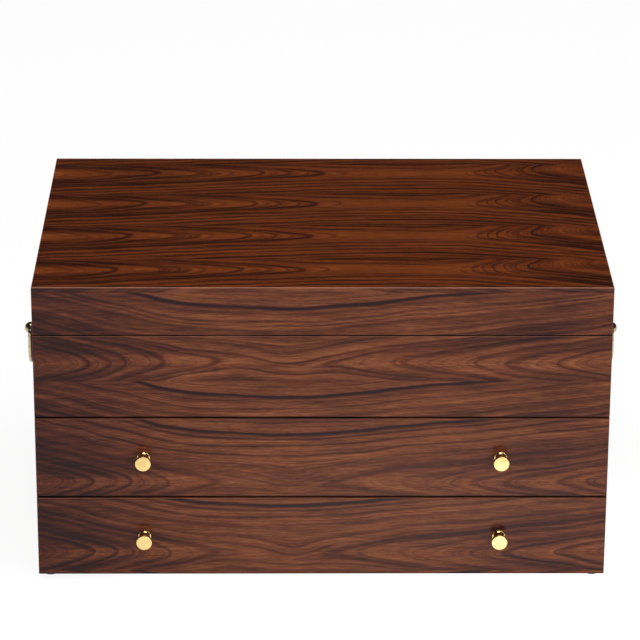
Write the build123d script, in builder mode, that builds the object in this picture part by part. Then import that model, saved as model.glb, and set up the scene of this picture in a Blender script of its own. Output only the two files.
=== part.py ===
from build123d import *
import math
import os

# Wooden jewellery chest: a lidded compartment over two drawers, with a bail handle on each side.
# Millimetres, +X right, +Y back, +Z up. The origin is on the table, at the middle of the chest's
# whole footprint, with its handles, knobs and hinges.

os.makedirs("parts", exist_ok=True)

# Overall sizes
case_width = 420.0  # over the two side panels
case_depth = 292.0  # from the face of the fronts to the outside of the back
drawer_front_height = 62.0
upper_front_height = 63.5
lid_height = 37.0
drawer_gap = 1.3  # between one front and the next
lid_gap = 0.6  # between the case's rim and the lid

# Panels of the case and the lid
front_thickness = 9.0
side_thickness = 10.0
back_thickness = 10.0
bottom_thickness = 6.0
shelf_thickness = 5.0
floor_thickness = 5.0
lid_top_thickness = 8.0
edge_ease = 0.8  # radius on the edges that a hand meets

# Feet and lid bumpers
foot_height = 5.0
foot_diameter = 11.0
foot_inset = 8.0  # from the outside of a panel to the foot's centre
foot_setback = 0.2  # from the back of the drawer's front to a front foot
bumper_diameter = 6.0
bumper_gap = 0.05  # between a bumper and the closed lid

# Drawer boxes and what they run on
drawer_seat_gap = 0.4  # between a closed drawer's front and the case
drawer_side_thickness = 8.0
drawer_back_thickness = 8.0
drawer_bottom_thickness = 4.0
drawer_side_gap = 0.8  # between a drawer's side and the case's
drawer_floor_gap = 1.0  # between the lower drawer and the case's bottom
drawer_back_gap = 6.0  # behind a closed drawer
drawer_top_gap = 0.65  # between the lower drawer's back and the shelf
drawer_back_rise = 2.5  # the back stands this much above the sides, to meet the stops
drawer_travel = 190.0
runner_width = 5.0
runner_height = 8.0
runner_setback = 10.0  # from the back of the fronts to a runner's end
runner_gap = 0.3  # above and below a runner in its groove
runner_side_gap = 0.6  # beside a runner in its groove
runner_end_gap = 2.4  # before a runner in its groove
stop_diameter = 5.0
stop_place = 90.0  # a stop's distance from the middle of the chest
stop_gap = 0.3  # what is left between two stops that meet
stop_side_gap = 0.7  # a stop's end above the drawer's sides

# Linings, dividers and ring rolls
lining_thickness = 1.2
lining_drop = 1.5  # the lining's edge below the edge of its box
divider_thickness = 4.0
divider_drop = 8.0  # a drawer's dividers below its sides
compartment_divider_height = 36.0
middle_bay_width = 124.0
divider_gap = 0.1
roll_count = 6
roll_width = 20.2
roll_pitch = 21.0
roll_shoulder = 14.0  # height of a roll's straight sides, below its round top
roll_end_gap = 0.4

# Lid pad and mirror
mirror_width = 250.0
mirror_depth = 150.0
mirror_thickness = 3.0
mirror_gap = 0.3
pad_thickness = 6.0
pad_gap = 0.5

# Knobs
knob_spacing = 262.0
knob_proud = 12.0
knob_face_diameter = 12.0
knob_rim = 3.0  # thickness of the knob's head at its edge
knob_bevel = 0.5
knob_neck_diameter = 6.4
knob_base_diameter = 9.5
knob_base_thickness = 0.9
knob_screw_diameter = 4.0
knob_screw_grip = 6.5  # how far the screw goes into the knob
knob_hole_depth = 7.0
screw_head_diameter = 8.0
screw_head_thickness = 2.5
counterbore_diameter = 9.0
counterbore_depth = 3.5
screw_gap = 0.05  # around any screw in its hole

# Bail handles
handle_spacing = 96.0  # between the two posts
rosette_diameter = 16.0
rosette_thickness = 2.2
stem_diameter = 5.6
eye_diameter = 9.0
eye_proud = 8.7  # from the side panel to the bail's pivot
stud_diameter = 4.0
stud_short = 0.5  # the stud's end below the inside of the side panel
nut_across_flats = 7.0
nut_thickness = 3.0
nut_recess_diameter = 10.0
nut_recess_depth = 4.0
bail_rod_diameter = 3.6
bail_width = 109.6  # between the middles of the two arms
bail_drop = 28.0
bail_corner = 14.0
bail_eye_bend = 2.0
bail_pin_past = 0.5  # how far the bail's end shows past the eye
grip_diameter = 5.2
grip_half_length = 24.0
pivot_clearance = 0.08  # radial, in the eyes and in the hinges

# Lid hinges
hinge_spacing = 260.0
leaf_width = 38.0
leaf_depth = 10.0
leaf_thickness = 1.0
leaf_fit = 0.1  # around a leaf in its recess
leaf_tongue = 1.0  # how far a leaf reaches into its knuckles
knuckle_radius = 2.5
knuckle_gap = 0.3  # between a knuckle and the back panel
knuckle_side_gap = 0.2
outer_knuckle = 12.0
hinge_pin_radius = 1.2
lid_open_angle = 100.0
stop_web_drop = 0.7  # between a knuckle and the stop bar below it
stop_bar_thickness = 1.4
stop_bar_reach = 3.8  # behind the hinge's axis
stop_web_half = 1.2
lug_reach = 4.2  # from the hinge's axis to the lug's end
lug_root = 1.5
hinge_screw_diameter = 2.4
hinge_screw_head = 4.2
hinge_screw_length = 9.0
hinge_screw_spacing = 24.0

# Heights
lower_drawer_low = foot_height
lower_drawer_high = lower_drawer_low + drawer_front_height
upper_drawer_low = lower_drawer_high + drawer_gap
upper_drawer_high = upper_drawer_low + drawer_front_height
upper_front_low = upper_drawer_high + drawer_gap
case_top = upper_front_low + upper_front_height
lid_low = case_top + lid_gap
lid_high = lid_low + lid_height
lid_ceiling = lid_high - lid_top_thickness
shelf_low = lower_drawer_high + (drawer_gap - shelf_thickness) / 2
shelf_high = shelf_low + shelf_thickness
compartment_low = upper_front_low + floor_thickness

# Plan
hinge_offset = knuckle_radius + knuckle_gap
hinge_proud = hinge_offset + stop_bar_reach
front_y = -(case_depth + hinge_proud - knob_proud) / 2
back_y = front_y + case_depth
inner_front_y = front_y + front_thickness
inner_back_y = back_y - back_thickness
half_width = case_width / 2
inner_x = half_width - side_thickness
across = (-half_width, half_width)
across_inside = (-inner_x, inner_x)
along_inside = (inner_front_y, inner_back_y)

# Drawer box, the same in both drawers, measured from the bottom edge of the drawer's front
drawer_front_thickness = front_thickness - drawer_seat_gap
box_front_y = front_y + drawer_front_thickness
box_back_y = inner_back_y - drawer_back_gap
box_inner_back_y = box_back_y - drawer_back_thickness
box_outer_x = inner_x - drawer_side_gap
box_inner_x = box_outer_x - drawer_side_thickness
box_lift = bottom_thickness + drawer_floor_gap
box_drop = (shelf_thickness - drawer_gap) / 2 + drawer_back_rise + drawer_top_gap
box_height = drawer_front_height - box_lift - box_drop
runner_lift = box_lift + box_height / 2  # to the middle of a runner
runner_start_y = inner_front_y + runner_setback
stop_y = box_inner_back_y - drawer_travel - stop_gap - stop_diameter / 2

# Hinge axis
hinge_y = back_y + hinge_offset
hinge_z = (case_top + lid_low) / 2
hinge_places = (-hinge_spacing / 2, hinge_spacing / 2)
pin_hole_radius = hinge_pin_radius + pivot_clearance
leaf_y = (back_y - leaf_depth, back_y)
leaf_middle_y = back_y - leaf_depth / 2
hinge_screw_places = [
    (hinge_x + side * hinge_screw_spacing / 2, leaf_middle_y)
    for hinge_x in hinge_places
    for side in (-1, 1)
]

# Bail pivots
pivot_y = front_y + case_depth / 2
pivot_z = upper_front_low + upper_front_height / 2
post_places = (pivot_y - handle_spacing / 2, pivot_y + handle_spacing / 2)

sides = (("left", -1), ("right", 1))


def board(x_span, y_span, z_span, mode=Mode.ADD):
    """Add or cut a board that fills three spans, in the part being built."""
    spans = (x_span, y_span, z_span)
    with Locations(tuple((low + high) / 2 for low, high in spans)):
        Box(*(high - low for low, high in spans), mode=mode)


def rod(centre, radius, length, direction, mode=Mode.ADD):
    """Add or cut a round rod about its centre, in the part being built."""
    with Locations(Plane(origin=centre, z_dir=direction)):
        Cylinder(radius, length, mode=mode)


def tray(x_span, y_span, floor, rim):
    """Add a lining: a thin floor with walls up, or down where the rim is below the floor."""
    up = 1 if rim > floor else -1
    skin = lining_thickness
    board(x_span, y_span, (min(floor, rim), max(floor, rim)))
    board(
        (x_span[0] + skin, x_span[1] - skin),
        (y_span[0] + skin, y_span[1] - skin),
        (min(floor + up * skin, rim), max(floor + up * skin, rim)),
        mode=Mode.SUBTRACT,
    )


def split(span, count):
    """Cut a span into equal cells, with a divider's thickness between them."""
    low, high = span
    cell = (high - low - (count - 1) * divider_thickness) / count
    starts = [low + place * (cell + divider_thickness) for place in range(count)]
    return [(start, start + cell) for start in starts]


def between(cells):
    """The spans of the dividers that stand between neighbouring cells."""
    return [(cell[1], following[0]) for cell, following in zip(cells, cells[1:])]


def bays(x_span):
    """Left, middle and right bays of a tray, with a divider on each side of the middle one."""
    half = middle_bay_width / 2
    left = (x_span[0], -half - divider_thickness)
    right = (half + divider_thickness, x_span[1])
    return left, (-half, half), right


def finish(piece, name):
    """Label a finished piece and write it to its own file."""
    piece.part.label = name
    export_step(piece.part, f"parts/{name}.step")
    print(f"{name}: {len(piece.solids())} solid(s)")


# Case -------------------------------------------------------------------------------------------

# Side panels, with a hole and a nut's recess for each handle post
for side, outwards in sides:
    with BuildPart() as case_side:
        board(
            sorted((outwards * inner_x, outwards * half_width)),
            (inner_front_y, back_y),
            (foot_height, case_top),
        )
        outer_face = case_side.faces().sort_by(Axis.X)[0 if outwards < 0 else -1]
        outer_edges = outer_face.edges().sort_by(Axis.Y)[1:]
        fillet(outer_edges, edge_ease)
        for post_y in post_places:
            inner_point = (outwards * inner_x, post_y, pivot_z)
            with Locations(Plane(origin=inner_point, z_dir=(-outwards, 0, 0))):
                CounterBoreHole(
                    stud_diameter / 2 + screw_gap,
                    nut_recess_diameter / 2,
                    nut_recess_depth,
                    depth=side_thickness,
                )
    finish(case_side, f"case_side_{side}")

# Back panel, between the sides, with recesses for the hinge leaves
with BuildPart() as case_back:
    board(across_inside, (inner_back_y, back_y), (foot_height, case_top))
    for hinge_x in hinge_places:
        board(
            (hinge_x - leaf_width / 2 - leaf_fit, hinge_x + leaf_width / 2 + leaf_fit),
            (leaf_y[0] - leaf_fit, leaf_y[1]),
            (case_top - leaf_thickness, case_top),
            mode=Mode.SUBTRACT,
        )
    for screw_x, screw_y in hinge_screw_places:
        rod(
            (screw_x, screw_y, case_top - hinge_screw_length / 2),
            hinge_screw_diameter / 2 + screw_gap,
            hinge_screw_length + 2 * screw_gap,
            (0, 0, 1),
            mode=Mode.SUBTRACT,
        )
finish(case_back, "case_back")

with BuildPart() as case_bottom:
    board(across_inside, along_inside, (foot_height, foot_height + bottom_thickness))
finish(case_bottom, "case_bottom")

with BuildPart() as drawer_shelf:
    board(across_inside, along_inside, (shelf_low, shelf_high))
finish(drawer_shelf, "drawer_shelf")

with BuildPart() as compartment_floor:
    board(across_inside, along_inside, (upper_front_low, compartment_low))
finish(compartment_floor, "compartment_floor")

# Fixed front of the compartment, over the ends of the side panels
with BuildPart() as upper_front:
    board(across, (front_y, inner_front_y), (upper_front_low, case_top))
    fillet(upper_front.faces().sort_by(Axis.Y)[0].edges(), edge_ease)
finish(upper_front, "upper_front")

# Runners: a hardwood strip on each side of each drawer
with BuildPart() as drawer_runners:
    for front_low in (lower_drawer_low, upper_drawer_low):
        runner_z = front_low + runner_lift
        for outwards in (-1, 1):
            board(
                sorted((outwards * (inner_x - runner_width), outwards * inner_x)),
                (runner_start_y, inner_back_y),
                (runner_z - runner_height / 2, runner_z + runner_height / 2),
            )
finish(drawer_runners, "drawer_runners")

# Stops: pegs that hang in front of each drawer's back
with BuildPart() as drawer_stops:
    for front_low, ceiling in ((lower_drawer_low, shelf_low), (upper_drawer_low, upper_front_low)):
        stop_low = front_low + box_lift + box_height + stop_side_gap
        for outwards in (-1, 1):
            stop_middle = (outwards * stop_place, stop_y, (stop_low + ceiling) / 2)
            rod(stop_middle, stop_diameter / 2, ceiling - stop_low, (0, 0, 1))
finish(drawer_stops, "drawer_stops")

# Feet: rubber discs with a rounded lower edge, under the case behind the lower drawer's front
foot_x = half_width - foot_inset
front_foot_y = inner_front_y + foot_setback + foot_diameter / 2
with BuildPart() as rubber_feet:
    for foot_y in (front_foot_y, back_y - foot_inset):
        for outwards in (-1, 1):
            rod((outwards * foot_x, foot_y, foot_height / 2), foot_diameter / 2, foot_height, (0, 0, 1))
    fillet(rubber_feet.edges().group_by(Axis.Z)[0], edge_ease)
finish(rubber_feet, "rubber_feet")

# Bumpers that the closed lid comes down on, at the ends of the fixed front
with BuildPart() as lid_bumpers:
    for outwards in (-1, 1):
        rod(
            (outwards * inner_x, (front_y + inner_front_y) / 2, case_top + (lid_gap - bumper_gap) / 2),
            bumper_diameter / 2,
            lid_gap - bumper_gap,
            (0, 0, 1),
        )
finish(lid_bumpers, "lid_bumpers")

# Inside of the compartment ----------------------------------------------------------------------

with BuildPart() as compartment_lining:
    tray(across_inside, along_inside, compartment_low, case_top - lining_drop)
finish(compartment_lining, "compartment_lining")


def ring_rolls(name, x_span, front, floor):
    """Padded rolls side by side, from the front of a bay, each with a round top."""
    middle_x = (x_span[0] + x_span[1]) / 2
    roll_length = x_span[1] - x_span[0] - 2 * roll_end_gap
    middles = [front + (place + 0.5) * roll_pitch for place in range(roll_count)]
    with BuildPart() as rolls:
        with BuildSketch(Plane(origin=(middle_x, 0, floor), x_dir=(0, 1, 0), z_dir=(1, 0, 0))):
            with Locations(*[(middle, roll_shoulder / 2) for middle in middles]):
                Rectangle(roll_width, roll_shoulder)
            with Locations(*[(middle, roll_shoulder) for middle in middles]):
                Circle(roll_width / 2)
        extrude(amount=roll_length / 2, both=True)
    finish(rolls, name)


def dividers(name, boards, z_span):
    """Upright divider boards, each given by its spans in plan, with a hair's gap at its ends."""
    with BuildPart() as divider_set:
        for x_span, y_span in boards:
            runs_across = x_span[1] - x_span[0] > y_span[1] - y_span[0]
            x_end, y_end = (divider_gap, 0) if runs_across else (0, divider_gap)
            board(
                (x_span[0] + x_end, x_span[1] - x_end),
                (y_span[0] + y_end, y_span[1] - y_end),
                z_span,
            )
    finish(divider_set, name)


def behind_rolls(y_span):
    """The span of the divider that stands just behind the ring rolls."""
    roll_end = y_span[0] + roll_count * roll_pitch
    return roll_end, roll_end + divider_thickness


lined_x = inner_x - lining_thickness
lined_along = (inner_front_y + lining_thickness, inner_back_y - lining_thickness)
lined_floor = compartment_low + lining_thickness
left_bay, middle_bay, right_bay = bays((-lined_x, lined_x))
roll_divider = behind_rolls(lined_along)
middle_cells = split(lined_along, 3)
right_cells = split(lined_along, 2)
compartment_boards = [(gap, lined_along) for gap in between([left_bay, middle_bay, right_bay])]
compartment_boards += [(left_bay, roll_divider)]
compartment_boards += [(middle_bay, gap) for gap in between(middle_cells)]
compartment_boards += [(right_bay, gap) for gap in between(right_cells)]
compartment_divider_span = (lined_floor, lined_floor + compartment_divider_height)
dividers("compartment_dividers", compartment_boards, compartment_divider_span)
ring_rolls("compartment_ring_rolls", left_bay, lined_along[0], lined_floor)

# Drawers ----------------------------------------------------------------------------------------


def knob(name, x, z):
    """A turned knob: a flat head with a bevelled rim, a neck, and a small foot on the wood."""
    head_back = knob_proud - knob_rim
    hole_radius = knob_screw_diameter / 2 + screw_gap
    neck_radius = knob_neck_diameter / 2
    face_radius = knob_face_diameter / 2
    base_radius = knob_base_diameter / 2
    neck_middle = (knob_base_thickness + head_back) / 2
    with BuildPart() as turned:
        with BuildSketch(Plane(origin=(x, front_y, z), x_dir=(1, 0, 0), z_dir=(0, 0, -1))):
            with BuildLine():
                Polyline((0, knob_hole_depth), (hole_radius, knob_hole_depth), (hole_radius, 0))
                Polyline((hole_radius, 0), (base_radius, 0), (base_radius, knob_base_thickness))
                ThreePointArc(
                    (base_radius, knob_base_thickness),
                    (neck_radius, neck_middle),
                    (face_radius - knob_bevel, head_back),
                )
                Polyline(
                    (face_radius - knob_bevel, head_back),
                    (face_radius, head_back + knob_bevel),
                    (face_radius, knob_proud - knob_bevel),
                    (face_radius - knob_bevel, knob_proud),
                    (0, knob_proud),
                    (0, knob_hole_depth),
                )
            make_face()
        revolve(axis=Axis((x, front_y, z), (0, -1, 0)))
    finish(turned, name)


def drawer(name, front_low, divider_boards):
    """One drawer: its boards, lining, dividers and knobs."""
    box_low = front_low + box_lift
    box_high = box_low + box_height
    lining_low = box_low + drawer_bottom_thickness
    knob_z = front_low + drawer_front_height / 2
    knob_places = (("left", -knob_spacing / 2), ("right", knob_spacing / 2))

    with BuildPart() as front:
        board(across, (front_y, box_front_y), (front_low, front_low + drawer_front_height))
        fillet(front.faces().sort_by(Axis.Y)[0].edges(), edge_ease)
        for side, knob_x in knob_places:
            with Locations(Plane(origin=(knob_x, box_front_y, knob_z), z_dir=(0, 1, 0))):
                CounterBoreHole(
                    knob_screw_diameter / 2 + screw_gap,
                    counterbore_diameter / 2,
                    counterbore_depth,
                    depth=drawer_front_thickness,
                )
    finish(front, f"{name}_front")

    groove_half = runner_height / 2 + runner_gap
    groove_floor_x = inner_x - runner_width - runner_side_gap
    for side, outwards in sides:
        with BuildPart() as box_side:
            board(
                sorted((outwards * box_inner_x, outwards * box_outer_x)),
                (box_front_y, box_back_y),
                (box_low, box_high),
            )
            board(
                sorted((outwards * groove_floor_x, outwards * box_outer_x)),
                (runner_start_y - runner_end_gap, box_back_y),
                (front_low + runner_lift - groove_half, front_low + runner_lift + groove_half),
                mode=Mode.SUBTRACT,
            )
        finish(box_side, f"{name}_side_{side}")

    with BuildPart() as box_back:
        board(
            (-box_inner_x, box_inner_x),
            (box_inner_back_y, box_back_y),
            (box_low, box_high + drawer_back_rise),
        )
    finish(box_back, f"{name}_back")

    with BuildPart() as box_bottom:
        board((-box_inner_x, box_inner_x), (box_front_y, box_inner_back_y), (box_low, lining_low))
    finish(box_bottom, f"{name}_bottom")

    with BuildPart() as lining:
        box_inside = ((-box_inner_x, box_inner_x), (box_front_y, box_inner_back_y))
        tray(*box_inside, lining_low, box_high - lining_drop)
    finish(lining, f"{name}_lining")

    dividers(
        f"{name}_dividers",
        divider_boards,
        (lining_low + lining_thickness, box_high - divider_drop),
    )

    for side, knob_x in knob_places:
        knob(f"{name}_knob_{side}", knob_x, knob_z)

    head_y = box_front_y - counterbore_depth
    screw_tip_y = front_y - knob_screw_grip
    with BuildPart() as knob_screws:
        for side, knob_x in knob_places:
            rod(
                (knob_x, head_y + screw_head_thickness / 2, knob_z),
                screw_head_diameter / 2,
                screw_head_thickness,
                (0, 1, 0),
            )
            rod(
                (knob_x, (head_y + screw_tip_y) / 2, knob_z),
                knob_screw_diameter / 2,
                head_y - screw_tip_y,
                (0, 1, 0),
            )
    finish(knob_screws, f"{name}_knob_screws")


drawer_lined_x = box_inner_x - lining_thickness
drawer_lined_along = (box_front_y + lining_thickness, box_inner_back_y - lining_thickness)

# Upper drawer: ring rolls with a cell behind them, two rows of small cells, and two long cells
drawer_left_bay, drawer_middle_bay, drawer_right_bay = bays((-drawer_lined_x, drawer_lined_x))
drawer_roll_divider = behind_rolls(drawer_lined_along)
small_columns = split(drawer_middle_bay, 2)
small_rows = split(drawer_lined_along, 3)
long_columns = split(drawer_right_bay, 2)
upper_drawer_boards = [
    (gap, drawer_lined_along)
    for gap in between([drawer_left_bay, drawer_middle_bay, drawer_right_bay])
]
upper_drawer_boards += [(drawer_left_bay, drawer_roll_divider)]
upper_drawer_boards += [(gap, drawer_lined_along) for gap in between(small_columns)]
upper_drawer_boards += [(column, gap) for column in small_columns for gap in between(small_rows)]
upper_drawer_boards += [(gap, drawer_lined_along) for gap in between(long_columns)]
drawer("upper_drawer", upper_drawer_low, upper_drawer_boards)
ring_rolls(
    "upper_drawer_ring_rolls",
    drawer_left_bay,
    drawer_lined_along[0],
    upper_drawer_low + box_lift + drawer_bottom_thickness + lining_thickness,
)

# Lower drawer: three cells in the front row and two wide ones in the back row
large_rows = split(drawer_lined_along, 2)
front_columns = split((-drawer_lined_x, drawer_lined_x), 3)
back_columns = split((-drawer_lined_x, drawer_lined_x), 2)
lower_drawer_boards = [((-drawer_lined_x, drawer_lined_x), gap) for gap in between(large_rows)]
lower_drawer_boards += [(gap, large_rows[0]) for gap in between(front_columns)]
lower_drawer_boards += [(gap, large_rows[1]) for gap in between(back_columns)]
drawer("lower_drawer", lower_drawer_low, lower_drawer_boards)

# Bail handles -----------------------------------------------------------------------------------

eye_hole_radius = bail_rod_diameter / 2 + pivot_clearance

for side, outwards in sides:
    # Posts: a rosette on the panel, a stem, and a ball that the bail turns in
    stud_end = stud_short - side_thickness
    stem_radius = stem_diameter / 2
    eye_radius = eye_diameter / 2
    stem_top = eye_proud - math.sqrt(eye_radius**2 - stem_radius**2)
    with BuildPart() as posts:
        for post_y in post_places:
            post_point = (outwards * half_width, post_y, pivot_z)
            with BuildSketch(Plane(origin=post_point, x_dir=(0, 0, 1), z_dir=(0, outwards, 0))):
                with BuildLine():
                    Polyline((0, stud_end), (stud_diameter / 2, stud_end), (stud_diameter / 2, 0))
                    Polyline(
                        (stud_diameter / 2, 0),
                        (rosette_diameter / 2, 0),
                        (rosette_diameter / 2, rosette_thickness - edge_ease),
                        (rosette_diameter / 2 - edge_ease, rosette_thickness),
                        (stem_radius, rosette_thickness),
                        (stem_radius, stem_top),
                    )
                    ThreePointArc(
                        (stem_radius, stem_top),
                        (eye_radius, eye_proud),
                        (0, eye_proud + eye_radius),
                    )
                    Line((0, eye_proud + eye_radius), (0, stud_end))
                make_face()
            revolve(axis=Axis(post_point, (outwards, 0, 0)))
            eye_point = (outwards * (half_width + eye_proud), post_y, pivot_z)
            rod(eye_point, eye_hole_radius, 2 * eye_diameter, (0, 1, 0), mode=Mode.SUBTRACT)
    finish(posts, f"{side}_handle_posts")

    # Bail: one bent rod that swells into a grip
    pivot = (outwards * (half_width + eye_proud), pivot_y, pivot_z)
    bail_plane = Plane(origin=pivot, x_dir=(0, 1, 0), z_dir=(1, 0, 0))
    pin_end = handle_spacing / 2 - eye_radius - bail_pin_past
    arm = bail_width / 2
    with BuildPart() as bail:
        with BuildLine(bail_plane) as rod_path:
            FilletPolyline(
                (-pin_end, 0),
                (-arm, 0),
                (-arm, -bail_drop),
                (arm, -bail_drop),
                (arm, 0),
                (pin_end, 0),
                radius=[bail_eye_bend, bail_corner, bail_corner, bail_eye_bend],
            )
        with BuildSketch(Plane(origin=rod_path.line @ 0, z_dir=rod_path.line % 0)):
            Circle(bail_rod_diameter / 2)
        sweep()
        with BuildSketch(bail_plane):
            with BuildLine():
                grip_end = grip_half_length, -bail_drop + bail_rod_diameter / 2
                grip_start = -grip_half_length, -bail_drop + bail_rod_diameter / 2
                Spline(grip_start, (0, -bail_drop + grip_diameter / 2), grip_end)
                Polyline(
                    grip_end,
                    (grip_half_length, -bail_drop),
                    (-grip_half_length, -bail_drop),
                    grip_start,
                )
            make_face()
        revolve(axis=Axis((pivot[0], pivot_y, pivot_z - bail_drop), (0, 1, 0)))
    finish(bail, f"{side}_handle_bail")

# Nuts on the posts' studs, in the recesses inside the side panels
with BuildPart() as handle_nuts:
    for outwards in (-1, 1):
        seat_x = outwards * (inner_x + nut_recess_depth)
        for post_y in post_places:
            with BuildSketch(Plane(origin=(seat_x, post_y, pivot_z), z_dir=(-outwards, 0, 0))):
                RegularPolygon(nut_across_flats / 2, 6, major_radius=False)
                Circle(stud_diameter / 2 + screw_gap, mode=Mode.SUBTRACT)
            extrude(amount=nut_thickness)
finish(handle_nuts, "handle_nuts")

# Lid --------------------------------------------------------------------------------------------

rail_heights = (lid_low, lid_ceiling)

with BuildPart() as lid_top:
    board(across, (front_y, back_y), (lid_ceiling, lid_high))
    lid_top_edges = lid_top.faces().sort_by(Axis.Z)[-1].edges() + lid_top.edges().filter_by(Axis.Z)
    fillet(lid_top_edges, edge_ease)
finish(lid_top, "lid_top")

with BuildPart() as lid_front:
    board(across, (front_y, inner_front_y), rail_heights)
    fillet(lid_front.faces().sort_by(Axis.Y)[0].edges().sort_by(Axis.Z)[:-1], edge_ease)
finish(lid_front, "lid_front")

for side, outwards in sides:
    with BuildPart() as lid_side:
        board(
            sorted((outwards * inner_x, outwards * half_width)),
            (inner_front_y, back_y),
            rail_heights,
        )
        outer_edges = lid_side.faces().sort_by(Axis.X)[0 if outwards < 0 else -1].edges()
        lower_edge = outer_edges.sort_by(Axis.Z)[0]
        rear_edge = outer_edges.sort_by(Axis.Y)[-1]
        fillet([lower_edge, rear_edge], edge_ease)
    finish(lid_side, f"lid_side_{side}")

with BuildPart() as lid_back:
    board(across_inside, (inner_back_y, back_y), rail_heights)
    for hinge_x in hinge_places:
        board(
            (hinge_x - leaf_width / 2 - leaf_fit, hinge_x + leaf_width / 2 + leaf_fit),
            (leaf_y[0] - leaf_fit, leaf_y[1]),
            (lid_low, lid_low + leaf_thickness),
            mode=Mode.SUBTRACT,
        )
    for screw_x, screw_y in hinge_screw_places:
        rod(
            (screw_x, screw_y, lid_low + hinge_screw_length / 2),
            hinge_screw_diameter / 2 + screw_gap,
            hinge_screw_length + 2 * screw_gap,
            (0, 0, 1),
            mode=Mode.SUBTRACT,
        )
finish(lid_back, "lid_back")

with BuildPart() as lid_lining:
    tray(across_inside, along_inside, lid_ceiling, lid_low + lining_drop)
finish(lid_lining, "lid_lining")

# Pad on the lid's ceiling, with the mirror let into it
pad_high = lid_ceiling - lining_thickness
pad_x = lined_x - pad_gap
pad_along = (lined_along[0] + pad_gap, lined_along[1] - pad_gap)
lid_middle_y = (inner_front_y + inner_back_y) / 2
mirror_half_x = mirror_width / 2
mirror_along = (lid_middle_y - mirror_depth / 2, lid_middle_y + mirror_depth / 2)
with BuildPart() as lid_pad:
    board((-pad_x, pad_x), pad_along, (pad_high - pad_thickness, pad_high))
    board(
        (-mirror_half_x - mirror_gap, mirror_half_x + mirror_gap),
        (mirror_along[0] - mirror_gap, mirror_along[1] + mirror_gap),
        (pad_high - pad_thickness, pad_high),
        mode=Mode.SUBTRACT,
    )
finish(lid_pad, "lid_pad")

with BuildPart() as lid_mirror:
    board((-mirror_half_x, mirror_half_x), mirror_along, (pad_high - mirror_thickness, pad_high))
finish(lid_mirror, "lid_mirror")

# Hinges -----------------------------------------------------------------------------------------

# Each knuckle's span along the hinge, from the hinge's middle
half_leaf = leaf_width / 2
centre_half = half_leaf - outer_knuckle - knuckle_side_gap
outer_spans = ((-half_leaf, -half_leaf + outer_knuckle), (half_leaf - outer_knuckle, half_leaf))
centre_span = (-centre_half, centre_half)


def hinge_leaf(hinge_x, knuckle_spans, leaf_heights, facing):
    """Add a leaf with its knuckles; facing is +1 where its screws enter from above."""
    board((hinge_x - half_leaf, hinge_x + half_leaf), leaf_y, leaf_heights)
    for low, high in knuckle_spans:
        knuckle_x = (hinge_x + low, hinge_x + high)
        board(knuckle_x, (back_y, back_y + leaf_tongue), leaf_heights)
        knuckle_middle = (sum(knuckle_x) / 2, hinge_y, hinge_z)
        rod(knuckle_middle, knuckle_radius, high - low, (1, 0, 0))
    rod((hinge_x, hinge_y, hinge_z), pin_hole_radius, leaf_width, (1, 0, 0), mode=Mode.SUBTRACT)
    open_face = leaf_heights[1] if facing > 0 else leaf_heights[0]
    for screw_side in (-1, 1):
        screw_x = hinge_x + screw_side * hinge_screw_spacing / 2
        with Locations(Plane(origin=(screw_x, leaf_middle_y, open_face), z_dir=(0, 0, facing))):
            CounterSinkHole(
                hinge_screw_diameter / 2 + screw_gap,
                hinge_screw_head / 2 + screw_gap,
                depth=leaf_thickness,
            )


# Case leaves carry the stop bar, below the knuckles
bar_high = hinge_z - knuckle_radius - stop_web_drop
bar_low = bar_high - stop_bar_thickness
web_high = hinge_z - knuckle_radius + leaf_thickness / 2
with BuildPart() as hinge_case_leaves:
    for hinge_x in hinge_places:
        hinge_leaf(hinge_x, outer_spans, (case_top - leaf_thickness, case_top), 1)
        board(
            (hinge_x - half_leaf, hinge_x + half_leaf),
            (hinge_y - stop_web_half, hinge_y + stop_bar_reach),
            (bar_low, bar_high),
        )
        for low, high in outer_spans:
            board(
                (hinge_x + low, hinge_x + high),
                (hinge_y - stop_web_half, hinge_y + stop_web_half),
                (bar_high, web_high),
            )
finish(hinge_case_leaves, "hinge_case_leaves")

# Lid leaves carry the lug that meets the bar when the lid is fully open
lean = math.radians(lid_open_angle - 90)
bar_distance = hinge_z - bar_high
lug_thickness = (bar_distance - stop_gap - lug_reach * math.sin(lean)) / math.cos(lean)
with BuildPart() as hinge_lid_leaves:
    for hinge_x in hinge_places:
        hinge_leaf(hinge_x, (centre_span,), (lid_low, lid_low + leaf_thickness), -1)
        board(
            (hinge_x - centre_half, hinge_x + centre_half),
            (hinge_y, hinge_y + lug_thickness),
            (hinge_z + lug_root, hinge_z + lug_reach),
        )
finish(hinge_lid_leaves, "hinge_lid_leaves")

with BuildPart() as hinge_pins:
    for hinge_x in hinge_places:
        rod((hinge_x, hinge_y, hinge_z), hinge_pin_radius, leaf_width, (1, 0, 0))
finish(hinge_pins, "hinge_pins")


def hinge_screws(name, open_face, facing):
    """Countersunk screws, their heads flush with a leaf's open face."""
    shank_radius = hinge_screw_diameter / 2
    head_radius = hinge_screw_head / 2
    head_depth = head_radius - shank_radius
    with BuildPart() as screws:
        for screw_x, screw_y in hinge_screw_places:
            head_point = (screw_x, screw_y, open_face)
            with BuildSketch(Plane(origin=head_point, x_dir=(1, 0, 0), z_dir=(0, -facing, 0))):
                with BuildLine():
                    Polyline(
                        (0, 0),
                        (head_radius, 0),
                        (shank_radius, -head_depth),
                        (shank_radius, shank_radius - hinge_screw_length),
                        (0, -hinge_screw_length),
                        (0, 0),
                    )
                make_face()
            revolve(axis=Axis(head_point, (0, 0, 1)))
    finish(screws, name)


hinge_screws("hinge_case_screws", case_top, 1)
hinge_screws("hinge_lid_screws", lid_low, -1)
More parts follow.
